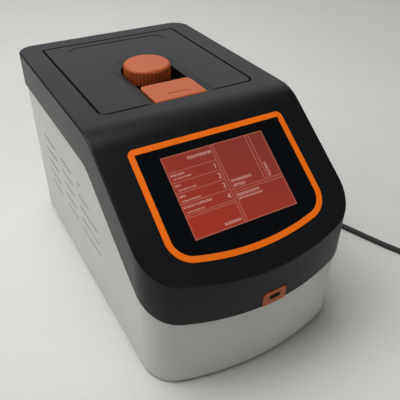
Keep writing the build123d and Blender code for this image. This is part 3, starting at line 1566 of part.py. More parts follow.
# Mains lead: moulded connector and plug with tapered reliefs, a free tube and a stored coil
connector_y = inlet_face + inlet_flange + connector_gap
relief_end_y = connector_y + connector_length + relief_length
with BuildPart() as mains_connector:
    with BuildSketch(Plane.XZ.offset(-connector_y)) as body_shape:
        with Locations((inlet_x, inlet_z)):
            Rectangle(connector_width, connector_height)
        fillet(body_shape.vertices(), connector_corner)
    extrude(amount=-connector_length)
    chamfer(mains_connector.faces().sort_by(Axis.Y)[-1].edges(), connector_chamfer)
    with BuildSketch(Plane.XZ.offset(-(connector_y + connector_length - 1))):
        with Locations((inlet_x, inlet_z)):
            Circle(relief_radius)
    with BuildSketch(Plane.XZ.offset(-relief_end_y)):
        with Locations((inlet_x, inlet_z)):
            Circle(cord_radius + relief_end_wall)
    loft()
    with BuildSketch(Plane.XZ.offset(-connector_y)):
        with Locations((inlet_x, inlet_z)):
            Rectangle(inlet_socket_width - 2 * fit_gap, inlet_socket_height - 2 * fit_gap)
    extrude(amount=inlet_socket_depth + inlet_flange - 1)
    with BuildSketch(Plane.XZ.offset(-socket_floor)):
        with Locations(*inlet_pin_places):
            Rectangle(inlet_pin_size[0] + 2 * fit_gap, inlet_pin_size[1] + 2 * fit_gap)
    extrude(amount=-(inlet_socket_depth - 2), mode=Mode.SUBTRACT)
keep(mains_connector, "mains_connector")

cord_points = [(inlet_x, relief_end_y, inlet_z), (inlet_x, relief_end_y + cord_exit_run, inlet_z)]
cord_points += [(case_width / 2 + x, rear_y + y, z) for x, y, z in cord_route]
route = [Vector(*point) for point in cord_points]
runs = [after - before for before, after in zip(route, route[1:])]
cord_bends = [
    0.45 * min(before.length, after.length) / tan(radians(before.get_angle(after)) / 2)
    for before, after in zip(runs, runs[1:])
]
print("cord radii", [round(bend, 1) for bend in cord_bends])
with BuildPart() as mains_cord:
    with BuildLine() as cord_line:
        FilletPolyline(*route, radius=cord_bends)
    with BuildSketch(Plane(origin=route[0], z_dir=runs[0])):
        Circle(cord_radius)
    sweep()
cord_length = cord_line.wires()[0].length
cord_fill = mains_cord.part.volume / (pi * cord_radius**2 * cord_length)
print("cord length", round(cord_length, 1), "volume ratio", round(cord_fill, 4))
keep(mains_cord, "mains_cord")

heading = runs[-1].normalized()
coil_start = route[-1] + heading * coil_lead_in
coil_outer_turn = coil_radius + 2 * cord_radius
coil_centre = coil_start + Vector(-heading.Y, heading.X, 0) * coil_outer_turn
tail_z = plug_height / 2
tail_x = coil_centre.X + coil_radius + cord_radius
with BuildPart() as cord_coil:
    with BuildSketch(Plane.XY.offset(coil_lift)):
        with Locations((coil_centre.X, coil_centre.Y)):
            Circle(coil_radius + coil_half_width)
            Circle(coil_radius - coil_half_width, mode=Mode.SUBTRACT)
    extrude(amount=coil_height - coil_lift)
    chamfer(cord_coil.faces().sort_by(Axis.Z)[-1].edges(), cord_radius / 2)
    with BuildSketch(Plane(origin=route[-1], z_dir=heading)):
        Circle(cord_radius)
    extrude(amount=coil_lead_in)
    with BuildSketch(Plane.XZ.offset(-coil_centre.Y)):
        with Locations((tail_x, tail_z)):
            Circle(cord_radius)
    extrude(amount=-coil_tail)
keep(cord_coil, "cord_coil")

plug_y = coil_centre.Y + coil_tail
with BuildPart() as mains_plug:
    with BuildSketch(Plane.XZ.offset(-plug_y)):
        with Locations((tail_x, tail_z)):
            Circle(cord_radius + relief_end_wall)
    with BuildSketch(Plane.XZ.offset(-(plug_y + plug_relief_length + 1))):
        with Locations((tail_x, tail_z)):
            Circle(relief_radius)
    loft()
    with BuildSketch(Plane.XZ.offset(-(plug_y + plug_relief_length))) as plug_shape:
        with Locations((tail_x, tail_z)):
            Rectangle(plug_width, plug_height)
        fillet(plug_shape.vertices(), plug_corner)
    extrude(amount=-plug_length)
    chamfer(mains_plug.faces().sort_by(Axis.Y)[-1].edges(), plug_chamfer)
keep(mains_plug, "mains_plug")

plug_face_y = plug_y + plug_relief_length + plug_length
with BuildPart() as plug_pins:
    with BuildSketch(Plane.XZ.offset(-plug_face_y)):
        with Locations((tail_x, tail_z + blade_rise)):
            with GridLocations(2 * blade_spread, 1, 2, 1):
                Rectangle(*blade_size)
        with Locations((tail_x, tail_z - earth_pin_drop)):
            Circle(earth_pin_radius)
    extrude(amount=-pin_length)
keep(plug_pins, "plug_pins")
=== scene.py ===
"""Looks of the bench thermal cycler: its finishes, moulded pieces, lit menu and mains lead."""

from math import atan2, cos, pi, radians, sin, sqrt

import bmesh
import bpy
from mathutils import Matrix, Vector


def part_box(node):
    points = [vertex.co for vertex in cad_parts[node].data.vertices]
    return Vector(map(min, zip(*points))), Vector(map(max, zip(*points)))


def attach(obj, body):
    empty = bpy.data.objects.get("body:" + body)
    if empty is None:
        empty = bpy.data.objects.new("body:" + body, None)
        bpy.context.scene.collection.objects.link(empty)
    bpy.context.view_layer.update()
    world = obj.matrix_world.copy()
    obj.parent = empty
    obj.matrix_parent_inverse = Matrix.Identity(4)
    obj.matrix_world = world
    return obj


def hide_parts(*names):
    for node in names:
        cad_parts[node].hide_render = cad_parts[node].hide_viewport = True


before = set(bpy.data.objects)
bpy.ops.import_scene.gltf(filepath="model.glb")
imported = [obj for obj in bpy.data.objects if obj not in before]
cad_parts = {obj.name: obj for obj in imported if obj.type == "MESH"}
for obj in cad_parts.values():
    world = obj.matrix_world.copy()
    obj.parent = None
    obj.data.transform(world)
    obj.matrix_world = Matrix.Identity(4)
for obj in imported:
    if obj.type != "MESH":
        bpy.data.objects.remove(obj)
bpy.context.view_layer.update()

# Camera: held above and in front of the machine's left front corner, looking down on it.
# Its three axes and its lens were fitted to the machine's corners and seams
scene = bpy.context.scene
scene.view_settings.view_transform = "Standard"
viewpoint = Vector((-0.237873, -0.470955, 0.473881))
view_right = Vector((0.86705, -0.49809, 0.01139))
view_down = Vector((-0.28851, -0.52059, -0.80358))
view_ahead = Vector((0.40618, 0.69346, -0.59508))
camera_data = bpy.data.cameras.new("viewpoint")
camera_data.lens = 46.05
camera_data.sensor_width = 36.0
camera_data.clip_end = 20.0
camera = bpy.data.objects.new("viewpoint", camera_data)
scene.collection.objects.link(camera)
view_axes = Matrix((view_right, -view_down, -view_ahead)).transposed()
camera.matrix_world = Matrix.Translation(viewpoint) @ view_axes.to_4x4()
scene.camera = camera


# Bench top and light: a pale matt sheet with a fine fibrous surface. The light comes from a
# broad ceiling lamp, a window at the left, a bright wall behind at the right and a weak
# fill from the front
class Value:
    """One shader socket. Arithmetic on it adds Math nodes to its material."""

    def __init__(self, tree, socket=None):
        self.tree = tree
        self.socket = socket

    def add(self, kind, settings=None, out=0, **inputs):
        """A new node with its settings and inputs; i3=x feeds the input numbered 3."""
        node = self.tree.nodes.new("ShaderNode" + kind)
        for name, value in (settings or {}).items():
            setattr(node, name, value)
        for name, value in inputs.items():
            numbered = name[0] == "i" and name[1:].isdigit()
            socket = node.inputs[int(name[1:]) if numbered else name.replace("_", " ")]
            if isinstance(value, Value):
                self.tree.links.new(value.socket, socket)
            else:
                socket.default_value = value
        return Value(self.tree, node.outputs[out])

    def math(self, operation, *values):
        """A Math node on the values."""
        inputs = {f"i{index}": value for index, value in enumerate(values)}
        return self.add("Math", {"operation": operation}, **inputs)

    def __add__(self, other):
        return self.math("ADD", self, other)

    def __sub__(self, other):
        return self.math("SUBTRACT", self, other)

    def __rsub__(self, other):
        return self.math("SUBTRACT", other, self)

    def __mul__(self, other):
        return self.math("MULTIPLY", self, other)

    def __truediv__(self, other):
        return self.math("DIVIDE", self, other)

    __radd__ = __add__
    __rmul__ = __mul__

    def between(self, low, high, soft):
        """1 where the value lies between low and high, with edges that wide."""
        rise = self.add("MapRange", {"clamp": True}, i0=self, i1=low - soft, i2=low + soft)
        fall = self.add("MapRange", {"clamp": True}, i0=self, i1=high - soft, i2=high + soft)
        return rise * (1 - fall)

    def colours(self, low, high):
        """A colour that goes from low to high as the value goes from 0 to 1."""
        pair = {"i6": low, "i7": high}
        pair = {key: v if isinstance(v, Value) else (*v, 1) for key, v in pair.items()}
        return self.add("Mix", {"data_type": "RGBA"}, out=2, i0=self, **pair)


def new_material(name):
    """An empty material, a Value to build on in it, and its surface shader."""
    material = bpy.data.materials.new(name)
    material.use_nodes = True
    tree = material.node_tree
    return material, Value(tree), tree.nodes["Principled BSDF"]


def feed(base, shader, **inputs):
    """Sets or links the shader's named inputs."""
    for name, value in inputs.items():
        socket = shader.inputs[name.replace("_", " ")]
        if isinstance(value, Value):
            base.tree.links.new(value.socket, socket)
        elif name in ("Base_Color", "Emission_Color"):
            socket.default_value = (*value, 1)
        else:
            socket.default_value = value


def place(base):
    """The point being shaded, in the object's own metres."""
    return base.add("TexCoord", out=3)


def speckle(base, scale, detail=2.0, rough=0.5):
    """A noise value around 0.5 at that many features a metre."""
    return base.add("TexNoise", Vector=place(base), Scale=scale, Detail=detail, Roughness=rough)


def link(name, mesh):
    """An object at the origin for a finished mesh, curve or lamp."""
    piece = bpy.data.objects.new(name, mesh)
    scene.collection.objects.link(piece)
    return piece


def lamp(name, at, towards, size, power, colour):
    """A soft rectangular lamp."""
    data = bpy.data.lights.new(name, "AREA")
    data.shape = "RECTANGLE"
    data.size, data.size_y = size
    data.energy = power
    data.color = colour
    piece = link(name, data)
    piece.location = at
    piece.rotation_mode = "QUATERNION"
    piece.rotation_quaternion = (Vector(towards) - Vector(at)).to_track_quat("-Z", "Y")


bench_colour = (0.66, 0.657, 0.635)
bench_shade = 0.93
bench_half_width = 6.0
fibre_height = 0.0006
bench_material, base, shader = new_material("pale_bench")
mottle = speckle(base, 9.0, 6.0, 0.6)
fibres = speckle(base, 260.0, 4.0, 0.6)
fibre_relief = base.add("Bump", Strength=0.35, Distance=fibre_height, Height=fibres)
feed(base, shader, Roughness=0.75, Normal=fibre_relief,
     Base_Color=mottle.colours([bench_shade * c for c in bench_colour], bench_colour))
sheet = bmesh.new()
bmesh.ops.create_grid(sheet, x_segments=2, y_segments=2, size=bench_half_width)
bench_mesh = bpy.data.meshes.new("bench")
sheet.to_mesh(bench_mesh)
sheet.free()
bench_mesh.materials.append(bench_material)
link("bench", bench_mesh)

room = bpy.data.worlds.new("room")
room.use_nodes = True
room_light = room.node_tree.nodes["Background"]
room_light.inputs["Color"].default_value = (0.95, 0.97, 1.0, 1)
room_light.inputs["Strength"].default_value = 0.06
scene.world = room
lamp("window_light", (-1.5, 0.45, 1.15), (0, 0, 0.1), (1.4, 1.2), 11.5, (1.0, 0.985, 0.955))
lamp("wall_light", (0.97, 1.66, 1.43), (0, 0, 0.15), (2.4, 1.4), 11.0, (0.96, 0.98, 1.0))
lamp("ceiling_light", (-0.5, 0.4, 2.2), (0, 0, 0.0), (1.5, 1.6), 43.0, (1.0, 0.99, 0.97))
lamp("front_fill", (0.7, -1.9, 0.9), (0.1, -0.2, 0.0), (1.6, 0.9), 7.0, (1.0, 0.98, 0.96))


# Inner pieces and fasteners: sheet steel, machined aluminium, brass, boards, rubber, ceramic
# and black mouldings, each with its own fine texture. Their shapes are carried over as they are
def moulded(name, colour, roughness, grain=1600.0, depth=0.00003, shine=0.5):
    """Spark-textured moulding: a fine even grain, slight clouds of tone and gloss."""
    cloud_scale, tone_spread, gloss_spread = 14.0, 0.12, 0.08
    material, base, shader = new_material(name)
    cloud = speckle(base, cloud_scale, 3.0)
    relief = base.add("Bump", Strength=0.5, Distance=depth, Height=speckle(base, grain))
    low = [c * (1 - tone_spread) for c in colour]
    high = [min(1.0, c * (1 + tone_spread)) for c in colour]
    feed(base, shader, Base_Color=cloud.colours(low, high), Normal=relief,
         Roughness=roughness - gloss_spread / 2 + gloss_spread * cloud, Specular_IOR_Level=shine)
    return material


def metal(name, colour, roughness, along, scale):
    """Bare metal with a drawn or milled lay along the axes whose stretch is small."""
    cloud_scale, dull_share, lay_depth = 20.0, 0.88, 0.00002
    material, base, shader = new_material(name)
    lay = base.add("Mapping", Vector=place(base), Scale=along)
    streak = base.add("TexNoise", Vector=lay, Scale=scale, Detail=3.0, Roughness=0.6)
    cloud = speckle(base, cloud_scale)
    relief = base.add("Bump", Strength=0.4, Distance=lay_depth, Height=streak)
    feed(base, shader, Base_Color=cloud.colours([dull_share * c for c in colour], colour),
         Roughness=roughness + 0.15 * streak - 0.07, Metallic=1.0, Normal=relief)
    return material


def dress(material, *nodes):
    """Gives carried-over CAD nodes a material."""
    for name in nodes:
        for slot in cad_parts[name].material_slots:
            slot.material = material


plated_steel = metal("plated_steel", (0.62, 0.62, 0.60), 0.34, (1, 0.05, 1), 500.0)
milled_aluminium = metal("milled_aluminium", (0.80, 0.81, 0.82), 0.30, (0.08, 1, 1), 700.0)
turned_brass = metal("turned_brass", (0.78, 0.60, 0.28), 0.28, (1, 1, 0.1), 600.0)
soft_rubber = moulded("soft_rubber", (0.025, 0.025, 0.026), 0.72, 2400.0, 0.00004)
black_moulding = moulded("black_moulding", (0.020, 0.020, 0.021), 0.45, 1800.0)
white_ceramic = moulded("white_ceramic", (0.74, 0.73, 0.69), 0.55, 1200.0)
green_board = moulded("green_board", (0.02, 0.16, 0.06), 0.28, 900.0, 0.00001)
clear_tube = moulded("clear_tube", (0.55, 0.58, 0.58), 0.10, 600.0, 0.00001)
dress(plated_steel, "base_plate", "heat_sink_posts", "air_duct", "power_supply",
      "display_bracket", "hinge_pins", "guide_posts", "latch_pin", "latch_spring", "lead_screw",
      "usb_socket")
dress(milled_aluminium, "sample_block", "heat_sink", "pressure_frame")
dress(turned_brass, "inlet_pins", "board_standoffs", "screw_bush")
dress(soft_rubber, "heater_mat")
dress(black_moulding, "fan_rotor", "display_module")
dress(white_ceramic, "peltier_modules", "insulation_pad")
dress(green_board, "main_board", "usb_board")
dress(clear_tube, "fuses")


# Lower casing: pale grey spark-textured moulding with vent slots in its sides. Round the slots
# its inner faces are painted near-black, painted shade that makes the slots read dark
def merged_copy(node):
    """A bmesh of a carried-over CAD piece, its loose triangles joined and its flat faces whole."""
    weld, flat_within = 0.000002, 0.3
    bm = bmesh.new()
    bm.from_mesh(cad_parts[node].data)
    bmesh.ops.remove_doubles(bm, verts=bm.verts, dist=weld)
    bmesh.ops.dissolve_limit(bm, angle_limit=radians(flat_within), verts=bm.verts, edges=bm.edges)
    return bm


def finish(bm, name, material, body, replaced=(), crease=32, weighted=True):
    """Turns a bmesh into a smooth-shaded piece that rides on a body."""
    mesh = bpy.data.meshes.new(name)
    bm.to_mesh(mesh)
    bm.free()
    for face in mesh.polygons:
        face.use_smooth = True
    mesh.set_sharp_from_angle(angle=radians(crease))
    mesh.materials.append(material)
    piece = link(name, mesh)
    if weighted:
        piece.modifiers.new("even_faces", "WEIGHTED_NORMAL").keep_sharp = True
    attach(piece, body)
    if replaced:
        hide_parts(*replaced)
    return piece


# Painted shade in the vent slots: the casing's inner faces, from the front to the rear of the
# slots, are coloured near-black
slot_shade_depth, slot_shade_edge = 0.00025, 0.0001
slot_shade_front, slot_shade_rear, slot_shade_fade = -0.060, 0.145, 0.002
slot_shade_colour = (0.035, 0.035, 0.037)
grey_moulding = moulded("grey_moulding", (0.55, 0.555, 0.535), 0.46, 1500.0, shine=0.4)
grey_low, grey_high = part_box("lower_casing")
shader = grey_moulding.node_tree.nodes["Principled BSDF"]
base = Value(grey_moulding.node_tree)
outer_grey = Value(base.tree, shader.inputs["Base Color"].links[0].from_socket)
slot_shade_x = base.add("SeparateXYZ", Vector=place(base))
slot_shade_y = base.add("SeparateXYZ", out=1, Vector=place(base))
slot_shade = slot_shade_x.between(grey_low.x + slot_shade_depth, grey_high.x - slot_shade_depth, slot_shade_edge)
slot_shade = slot_shade * slot_shade_y.between(slot_shade_front, slot_shade_rear, slot_shade_fade)
feed(base, shader, Base_Color=slot_shade.colours(outer_grey, slot_shade_colour))
finish(merged_copy("lower_casing"), "lower_casing_moulding", grey_moulding, "base",
       ("lower_casing",))


# Upper casing: near-black moulding of the same grain, bowed in front, with a raked face for
# the touch panel. It stands over the lower casing's tongue and is screwed to it from below
def soften(bm, radius, sharper=38, where=None):
    """Rounds the sharp edges of a moulding, or only those that where() accepts."""
    edges = [edge for edge in bm.edges
             if len(edge.link_faces) == 2 and edge.calc_face_angle() > radians(sharper)
             and (where is None or where(edge))]
    bmesh.ops.bevel(bm, geom=edges, offset=radius, offset_type="OFFSET", segments=2,
                    profile=0.5, affect="EDGES", clamp_overlap=True, material=-1)


casing_edge = 0.0008
dark_moulding = moulded("dark_moulding", (0.0060, 0.0070, 0.0082), 0.36, 1500.0, shine=0.2)
shell = merged_copy("upper_casing")
soften(shell, casing_edge)
finish(shell, "upper_casing_moulding", dark_moulding, "base", ("upper_casing",))

# Lid cover: the same dark moulding, dished round the knob and the latch, its panel edge
# rounded. Four screws from below hold it to the lid's steel tray
square_edge = 38
shallow_edge = 8
dish_crease = 18
looks_up = 0.95
lid_edge = 0.0003


def is_rim(edge):
    """True for a square edge and for the shallow edges of the dish, whose faces both look up."""
    square = edge.calc_face_angle() > radians(square_edge)
    return square or all(face.normal.z > looks_up for face in edge.link_faces)


shell = merged_copy("lid_cover")
soften(shell, lid_edge, sharper=shallow_edge, where=is_rim)
finish(shell, "lid_cover_moulding", dark_moulding, "lid", ("lid_cover",),
       crease=dish_crease)

# Release latch and host-socket surround: orange mouldings. The latch is well rounded to the
# finger and turns on a steel pin in the lid; the surround sits in the front of the seam
latch_edge = 0.0010
surround_edge = 0.0005
orange_moulding = moulded("orange_moulding", (0.43, 0.086, 0.020), 0.44, 1500.0, shine=0.35)
shell = merged_copy("release_latch")
soften(shell, latch_edge)
finish(shell, "latch_moulding", orange_moulding, "latch", ("release_latch",))
shell = merged_copy("usb_surround")
soften(shell, surround_edge)
finish(shell, "socket_surround", orange_moulding, "base", ("usb_surround",))

# Panel ring: bright orange moulding with rounded edges, let into the raked face round the
# touch panel's glass
ring_edge = 0.0005
ring_gloss = moulded("ring_gloss", (0.90, 0.165, 0.004), 0.42, 1500.0, shine=0.25)
shell = merged_copy("bezel_ring")
soften(shell, ring_edge)
finish(shell, "panel_ring", ring_gloss, "base", ("bezel_ring",))

# Panel glass: black-backed cover glass inside the ring; the lit menu shows through its clear
# window. Thin rules and plain pale bars lay out the menu, beside the row numbers 1 to 4
glass_edge = 0.0003
crease_y, crease_z = -0.0582, 0.237
rake_run, rake_rise = 0.8171, 0.5764
window_left, window_top = -0.0609, 0.0409
window_width, window_height = 0.118, 0.0864
soft_edge = 0.004
bar_least, bar_range = 0.16, 0.36
red_low_left, red_top_right = (0.33, 0.030, 0.014), (0.20, 0.032, 0.022)
rule_colour, bar_colour = (0.42, 0.13, 0.095), (0.62, 0.36, 0.30)
glass_material, base, shader = new_material("menu_glass")
glass_x = base.add("SeparateXYZ", Vector=place(base))
glass_y = base.add("SeparateXYZ", out=1, Vector=place(base))
across = (glass_x - window_left) / window_width
below = ((crease_y - glass_y) / rake_run - window_top) / window_height


def patch(left, right, top, bottom):
    """1 inside a rectangle of the menu, whose sides are shares of the window."""
    return across.between(left, right, soft_edge) * below.between(top, bottom, soft_edge)


picture = patch(0.0, 1.0, 0.0, 1.0)
rules = picture - patch(0.007, 0.993, 0.009, 0.991)
for left, right, top, bottom in (
    (0.464, 0.470, 0.0, 1.0), (0.490, 0.496, 0.0, 1.0),
    (0.0, 0.464, 0.193, 0.200), (0.0, 0.464, 0.318, 0.325), (0.0, 0.464, 0.446, 0.453),
    (0.0, 0.464, 0.574, 0.581), (0.0, 0.464, 0.709, 0.716), (0.0, 0.464, 0.737, 0.744),
    (0.815, 0.821, 0.0, 0.593), (0.850, 0.856, 0.0, 0.593),
    (0.496, 1.0, 0.593, 0.600), (0.496, 1.0, 0.626, 0.633),
):
    rules = rules.math("MAXIMUM", rules, patch(left, right, top, bottom))
stretched = base.add("Mapping", Vector=place(base), Scale=(1, 0.4, 0.4))
letters = base.add("TexNoise", Vector=stretched, Scale=900.0, Detail=1.0)
breaks = letters.between(0.47, 1.0, 0.03)
bars = None
for left, right, top, bottom in (
    (0.225, 0.452, 0.062, 0.098), (0.022, 0.150, 0.222, 0.246), (0.040, 0.200, 0.270, 0.288),
    (0.018, 0.080, 0.345, 0.372), (0.035, 0.200, 0.408, 0.426), (0.018, 0.080, 0.478, 0.502),
    (0.025, 0.200, 0.540, 0.558), (0.018, 0.275, 0.606, 0.634), (0.028, 0.190, 0.674, 0.692),
    (0.510, 0.712, 0.478, 0.512), (0.510, 0.628, 0.538, 0.572), (0.505, 0.730, 0.656, 0.690),
    (0.505, 0.744, 0.706, 0.728), (0.290, 0.448, 0.926, 0.958), (0.872, 0.895, 0.395, 0.575),
):
    bar = patch(left, right, top, bottom)
    bars = bar if bars is None else bars.math("MAXIMUM", bars, bar)
bars = bars * (bar_least + bar_range * breaks)
slant = base.add("MapRange", i0=across - below, i1=-0.9, i2=0.9)
lit_menu = slant.colours(red_low_left, red_top_right)
lit_menu = rules.colours(lit_menu, rule_colour)
lit_menu = bars.colours(lit_menu, bar_colour)
feed(base, shader, Base_Color=(0.002, 0.003, 0.004), Roughness=0.10, Specular_IOR_Level=0.35,
     Emission_Color=picture.colours((0, 0, 0), lit_menu), Emission_Strength=1.0)
shell = merged_copy("panel_glass")
soften(shell, glass_edge)
finish(shell, "menu_panel", glass_material, "base", ("panel_glass",))

# Row numbers of the menu: four plain lit figures at the right ends of the rows, a hair's
# breadth above the glass
figure_height = 0.0056
figure_share = 0.69
figure_right = 0.450
figure_lift = 0.00003
figure_half_depth = 0.00001
figure_material, base, shader = new_material("menu_figures")
feed(base, shader, Base_Color=(0.1, 0.05, 0.05), Roughness=0.3,
     Emission_Color=(0.50, 0.26, 0.21), Emission_Strength=1.0)
slope_up = Vector((0, rake_run, rake_rise))
slope_out = Vector((0, -rake_rise, rake_run))
slope_axes = Matrix((Vector((1, 0, 0)), slope_up, slope_out)).transposed().to_4x4()
row_end = Vector((window_left + figure_right * window_width, crease_y, crease_z))
figures = bmesh.new()
for figure, bottom in (("1", 0.292), ("2", 0.420), ("3", 0.548), ("4", 0.682)):
    text = bpy.data.curves.new("figure", "FONT")
    text.body = figure
    text.size = figure_height / figure_share
    text.align_x = "RIGHT"
    text.extrude = figure_half_depth
    stand_in = bpy.data.objects.new("figure", text)
    mesh = bpy.data.meshes.new_from_object(stand_in)
    foot = row_end + figure_lift * slope_out
    foot -= slope_up * (window_top + bottom * window_height)
    mesh.transform(Matrix.Translation(foot) @ slope_axes)
    figures.from_mesh(mesh)
    bpy.data.objects.remove(stand_in)
bmesh.ops.remove_doubles(figures, verts=figures.verts, dist=0.000001)
finish(figures, "menu_figures", figure_material, "base", weighted=False)

# Pressure knob: a moulded orange cap pressed on the lead screw, its skirt cut with 40 rounded
# flutes that fade out under the rounded top edge
knob_centre = Vector((0, 0.0638, 0))
knob_radius, knob_low, knob_top = 0.0282, 0.225, 0.2445
bore_radius, bore_depth = 0.0222, 0.012
foot_chamfer = 0.0004
edge_round = 0.0044
skirt_step, skirt_steps = 0.0017, 8
crown_radius, crown_drop = 0.0225, 0.00012
flat_radius = 0.018
flutes, flute_depth, steps_in_flute = 40, 0.0010, 8
flute_curve = 2.5
flutes_from = 0.0242
fade_below_top, fade_height = 0.0030, 0.0036
profile = [(bore_radius, knob_low + bore_depth), (bore_radius, knob_low),
           (knob_radius - foot_chamfer, knob_low), (knob_radius, knob_low + foot_chamfer)]
for step in range(1, skirt_steps + 1):
    profile.append((knob_radius, knob_low + foot_chamfer + skirt_step * step))
for lean in range(0, 86, 8):
    profile.append((knob_radius - edge_round * (1 - cos(radians(lean))),
                    knob_top - edge_round * (1 - sin(radians(lean)))))
profile += [(crown_radius, knob_top - crown_drop), (flat_radius, knob_top),
            (flat_radius / 2, knob_top), (0.0, knob_top)]
cap = bmesh.new()
corners = [cap.verts.new(knob_centre + Vector((reach, 0, height))) for reach, height in profile]
chain = [cap.edges.new(pair) for pair in zip(corners, corners[1:])]
bmesh.ops.spin(cap, geom=corners + chain, cent=knob_centre, axis=(0, 0, 1), angle=2 * pi,
               steps=flutes * steps_in_flute, use_merge=True)
bmesh.ops.remove_doubles(cap, verts=cap.verts, dist=0.00001)
bmesh.ops.holes_fill(cap, edges=[edge for edge in cap.edges if edge.is_boundary])
for corner in cap.verts:
    out = corner.co - knob_centre
    reach = sqrt(out.x ** 2 + out.y ** 2)
    if reach > flutes_from:
        groove = 0.5 - 0.5 * cos(flutes * atan2(out.y, out.x))
        fade = min(1.0, max(0.0, (knob_top - fade_below_top - corner.co.z) / fade_height))
        pull = 1 - flute_depth * fade * groove ** flute_curve / reach
        corner.co = knob_centre + Vector((out.x * pull, out.y * pull, corner.co.z))
bmesh.ops.recalc_face_normals(cap, faces=cap.faces)
finish(cap, "knob_cap", orange_moulding, "knob", ("pressure_knob",), crease=50,
       weighted=False)


# Rear of the machine: pressed rear panel with its screws, the black moulded fan frame, and
# the moulded mains inlet with its switch and fuse drawer
def rounded(node, material, body, edge):
    """A carried-over piece with its square edges rounded."""
    shell = merged_copy(node)
    soften(shell, edge)
    return finish(shell, node + "_finished", material, body, (node,))


def socketed(node, body, axis, outward):
    """Screws with a domed head and a driving socket; the heads look outward along the axis."""
    rim, crown, crown_rise, socket_wall = 0.12, 0.38, 0.10, 0.02
    socket_depth = 0.0010
    faces_out, round_sides, full_head, same_height = 0.99, 10, 0.8, 0.0002
    shell = merged_copy(node)
    bmesh.ops.dissolve_limit(shell, angle_limit=radians(1), verts=shell.verts, edges=shell.edges)
    ends = [face for face in shell.faces
            if face.normal[axis] * outward > faces_out and len(face.verts) > round_sides]
    furthest = max(face.calc_center_median()[axis] * outward for face in ends)
    widest = max(face.calc_area() for face in ends)
    heads = [face for face in ends
             if face.calc_area() > full_head * widest
             or face.calc_center_median()[axis] * outward > furthest - same_height]
    radius = sqrt(widest / pi)
    for width, depth in ((rim * radius, 0.0), (crown * radius, crown_rise * radius),
                         (socket_wall * radius, -socket_depth)):
        bmesh.ops.inset_individual(shell, faces=heads, thickness=width, depth=depth)
    return finish(shell, node + "_finished", plated_steel, body, (node,), crease=25)


rounded("rear_panel", plated_steel, "base", edge=0.0003)
socketed("panel_screws", "base", 1, 1)
socketed("fan_screws", "base", 1, 1)
rounded("fan_frame", black_moulding, "base", edge=0.0004)
rounded("mains_inlet", black_moulding, "base", edge=0.0005)
rounded("switch_housing", black_moulding, "base", edge=0.0004)
rounded("switch_rocker", black_moulding, "rocker", edge=0.0005)
rounded("fuse_drawer", black_moulding, "drawer", edge=0.0003)


# Finger guard over the fan: five rings and four spokes of round plated wire, welded where
# they cross, with an eye at each fan screw
wire_sides = 10


def bent_ring(bm, centre, radius, wire, steps=64):
    """Adds a ring of round wire that lies in an upright plane facing the rear."""
    loop = bmesh.ops.create_circle(bm, segments=wire_sides, radius=wire)["verts"]
    bmesh.ops.rotate(bm, verts=loop, matrix=Matrix.Rotation(pi / 2, 3, "Z"))
    bmesh.ops.translate(bm, verts=loop, vec=centre + Vector((radius, 0, 0)))
    edges = {edge for corner in loop for edge in corner.link_edges}
    bmesh.ops.spin(bm, geom=loop + list(edges), cent=centre, axis=(0, 1, 0), angle=2 * pi,
                   steps=steps, use_merge=True)


def bar_between(bm, start, end, wire):
    """Adds a straight round bar between two points."""
    run = end - start
    lean = run.to_track_quat("Z", "Y").to_matrix().to_4x4()
    bmesh.ops.create_cone(bm, cap_ends=True, segments=wire_sides, radius1=wire, radius2=wire,
                          depth=run.length, matrix=Matrix.Translation((start + end) / 2) @ lean)


guard_low, guard_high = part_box("finger_guard")
guard_centre = (guard_low + guard_high) / 2
guard_wire = (guard_high.y - guard_low.y) / 2
ring_count = 5
eye_radius, eye_steps, eye_inset = 0.0042, 28, 0.005
eye_reach = (guard_high.x - guard_low.x) / 2 - eye_inset
last_ring_share = 0.95
last_ring = last_ring_share * eye_reach
wires = bmesh.new()
for index in range(ring_count):
    bent_ring(wires, guard_centre, last_ring * (index + 1) / ring_count, guard_wire)
for side in (-1, 1):
    for level in (-1, 1):
        outward = Vector((side, 0, level)).normalized()
        eye_centre = guard_centre + Vector((side * eye_reach, 0, level * eye_reach))
        bar_between(wires, guard_centre + outward * last_ring / ring_count,
                    eye_centre - outward * eye_radius, guard_wire)
        bent_ring(wires, eye_centre, eye_radius, guard_wire, eye_steps)
bmesh.ops.remove_doubles(wires, verts=wires.verts, dist=0.000005)
bmesh.ops.recalc_face_normals(wires, faces=wires.faces)
finish(wires, "finger_guard_wires", plated_steel, "base", ("finger_guard",),
       crease=50, weighted=False)

# Connector and plug of the mains lead: soft black mouldings with well rounded edges, and the
# plug's brass pins
lead_ends = [
    rounded("mains_connector", soft_rubber, "base", edge=0.0010),
    rounded("mains_plug", soft_rubber, "base", edge=0.0012),
    rounded("plug_pins", turned_brass, "base", edge=0.0004),
]

# Lid underside and chamber: drawn steel tray, milled heated plate, moulded tub with its
# rubber seal, cast hinge arms and folded brackets, and the steel striker for the latch
rounded("lid_tray", plated_steel, "lid", edge=0.0004)
rounded("heated_plate", milled_aluminium, "plate_stack", edge=0.0003)
rounded("chamber_tub", black_moulding, "base", edge=0.0005)
rounded("block_seal", soft_rubber, "base", edge=0.0006)
socketed("lid_screws", "lid", 2, -1)
rounded("lid_hinge_arms", milled_aluminium, "lid", edge=0.0005)
rounded("hinge_brackets", plated_steel, "base", edge=0.0004)
rounded("latch_striker", plated_steel, "base", edge=0.0003)

# Underside: plated screws that hold the feet and the casing, and the four moulded rubber
# feet on which the machine stands
socketed("foot_screws", "base", 2, -1)
socketed("casing_screws", "base", 2, -1)
rounded("rubber_feet", soft_rubber, "base", edge=0.0008)

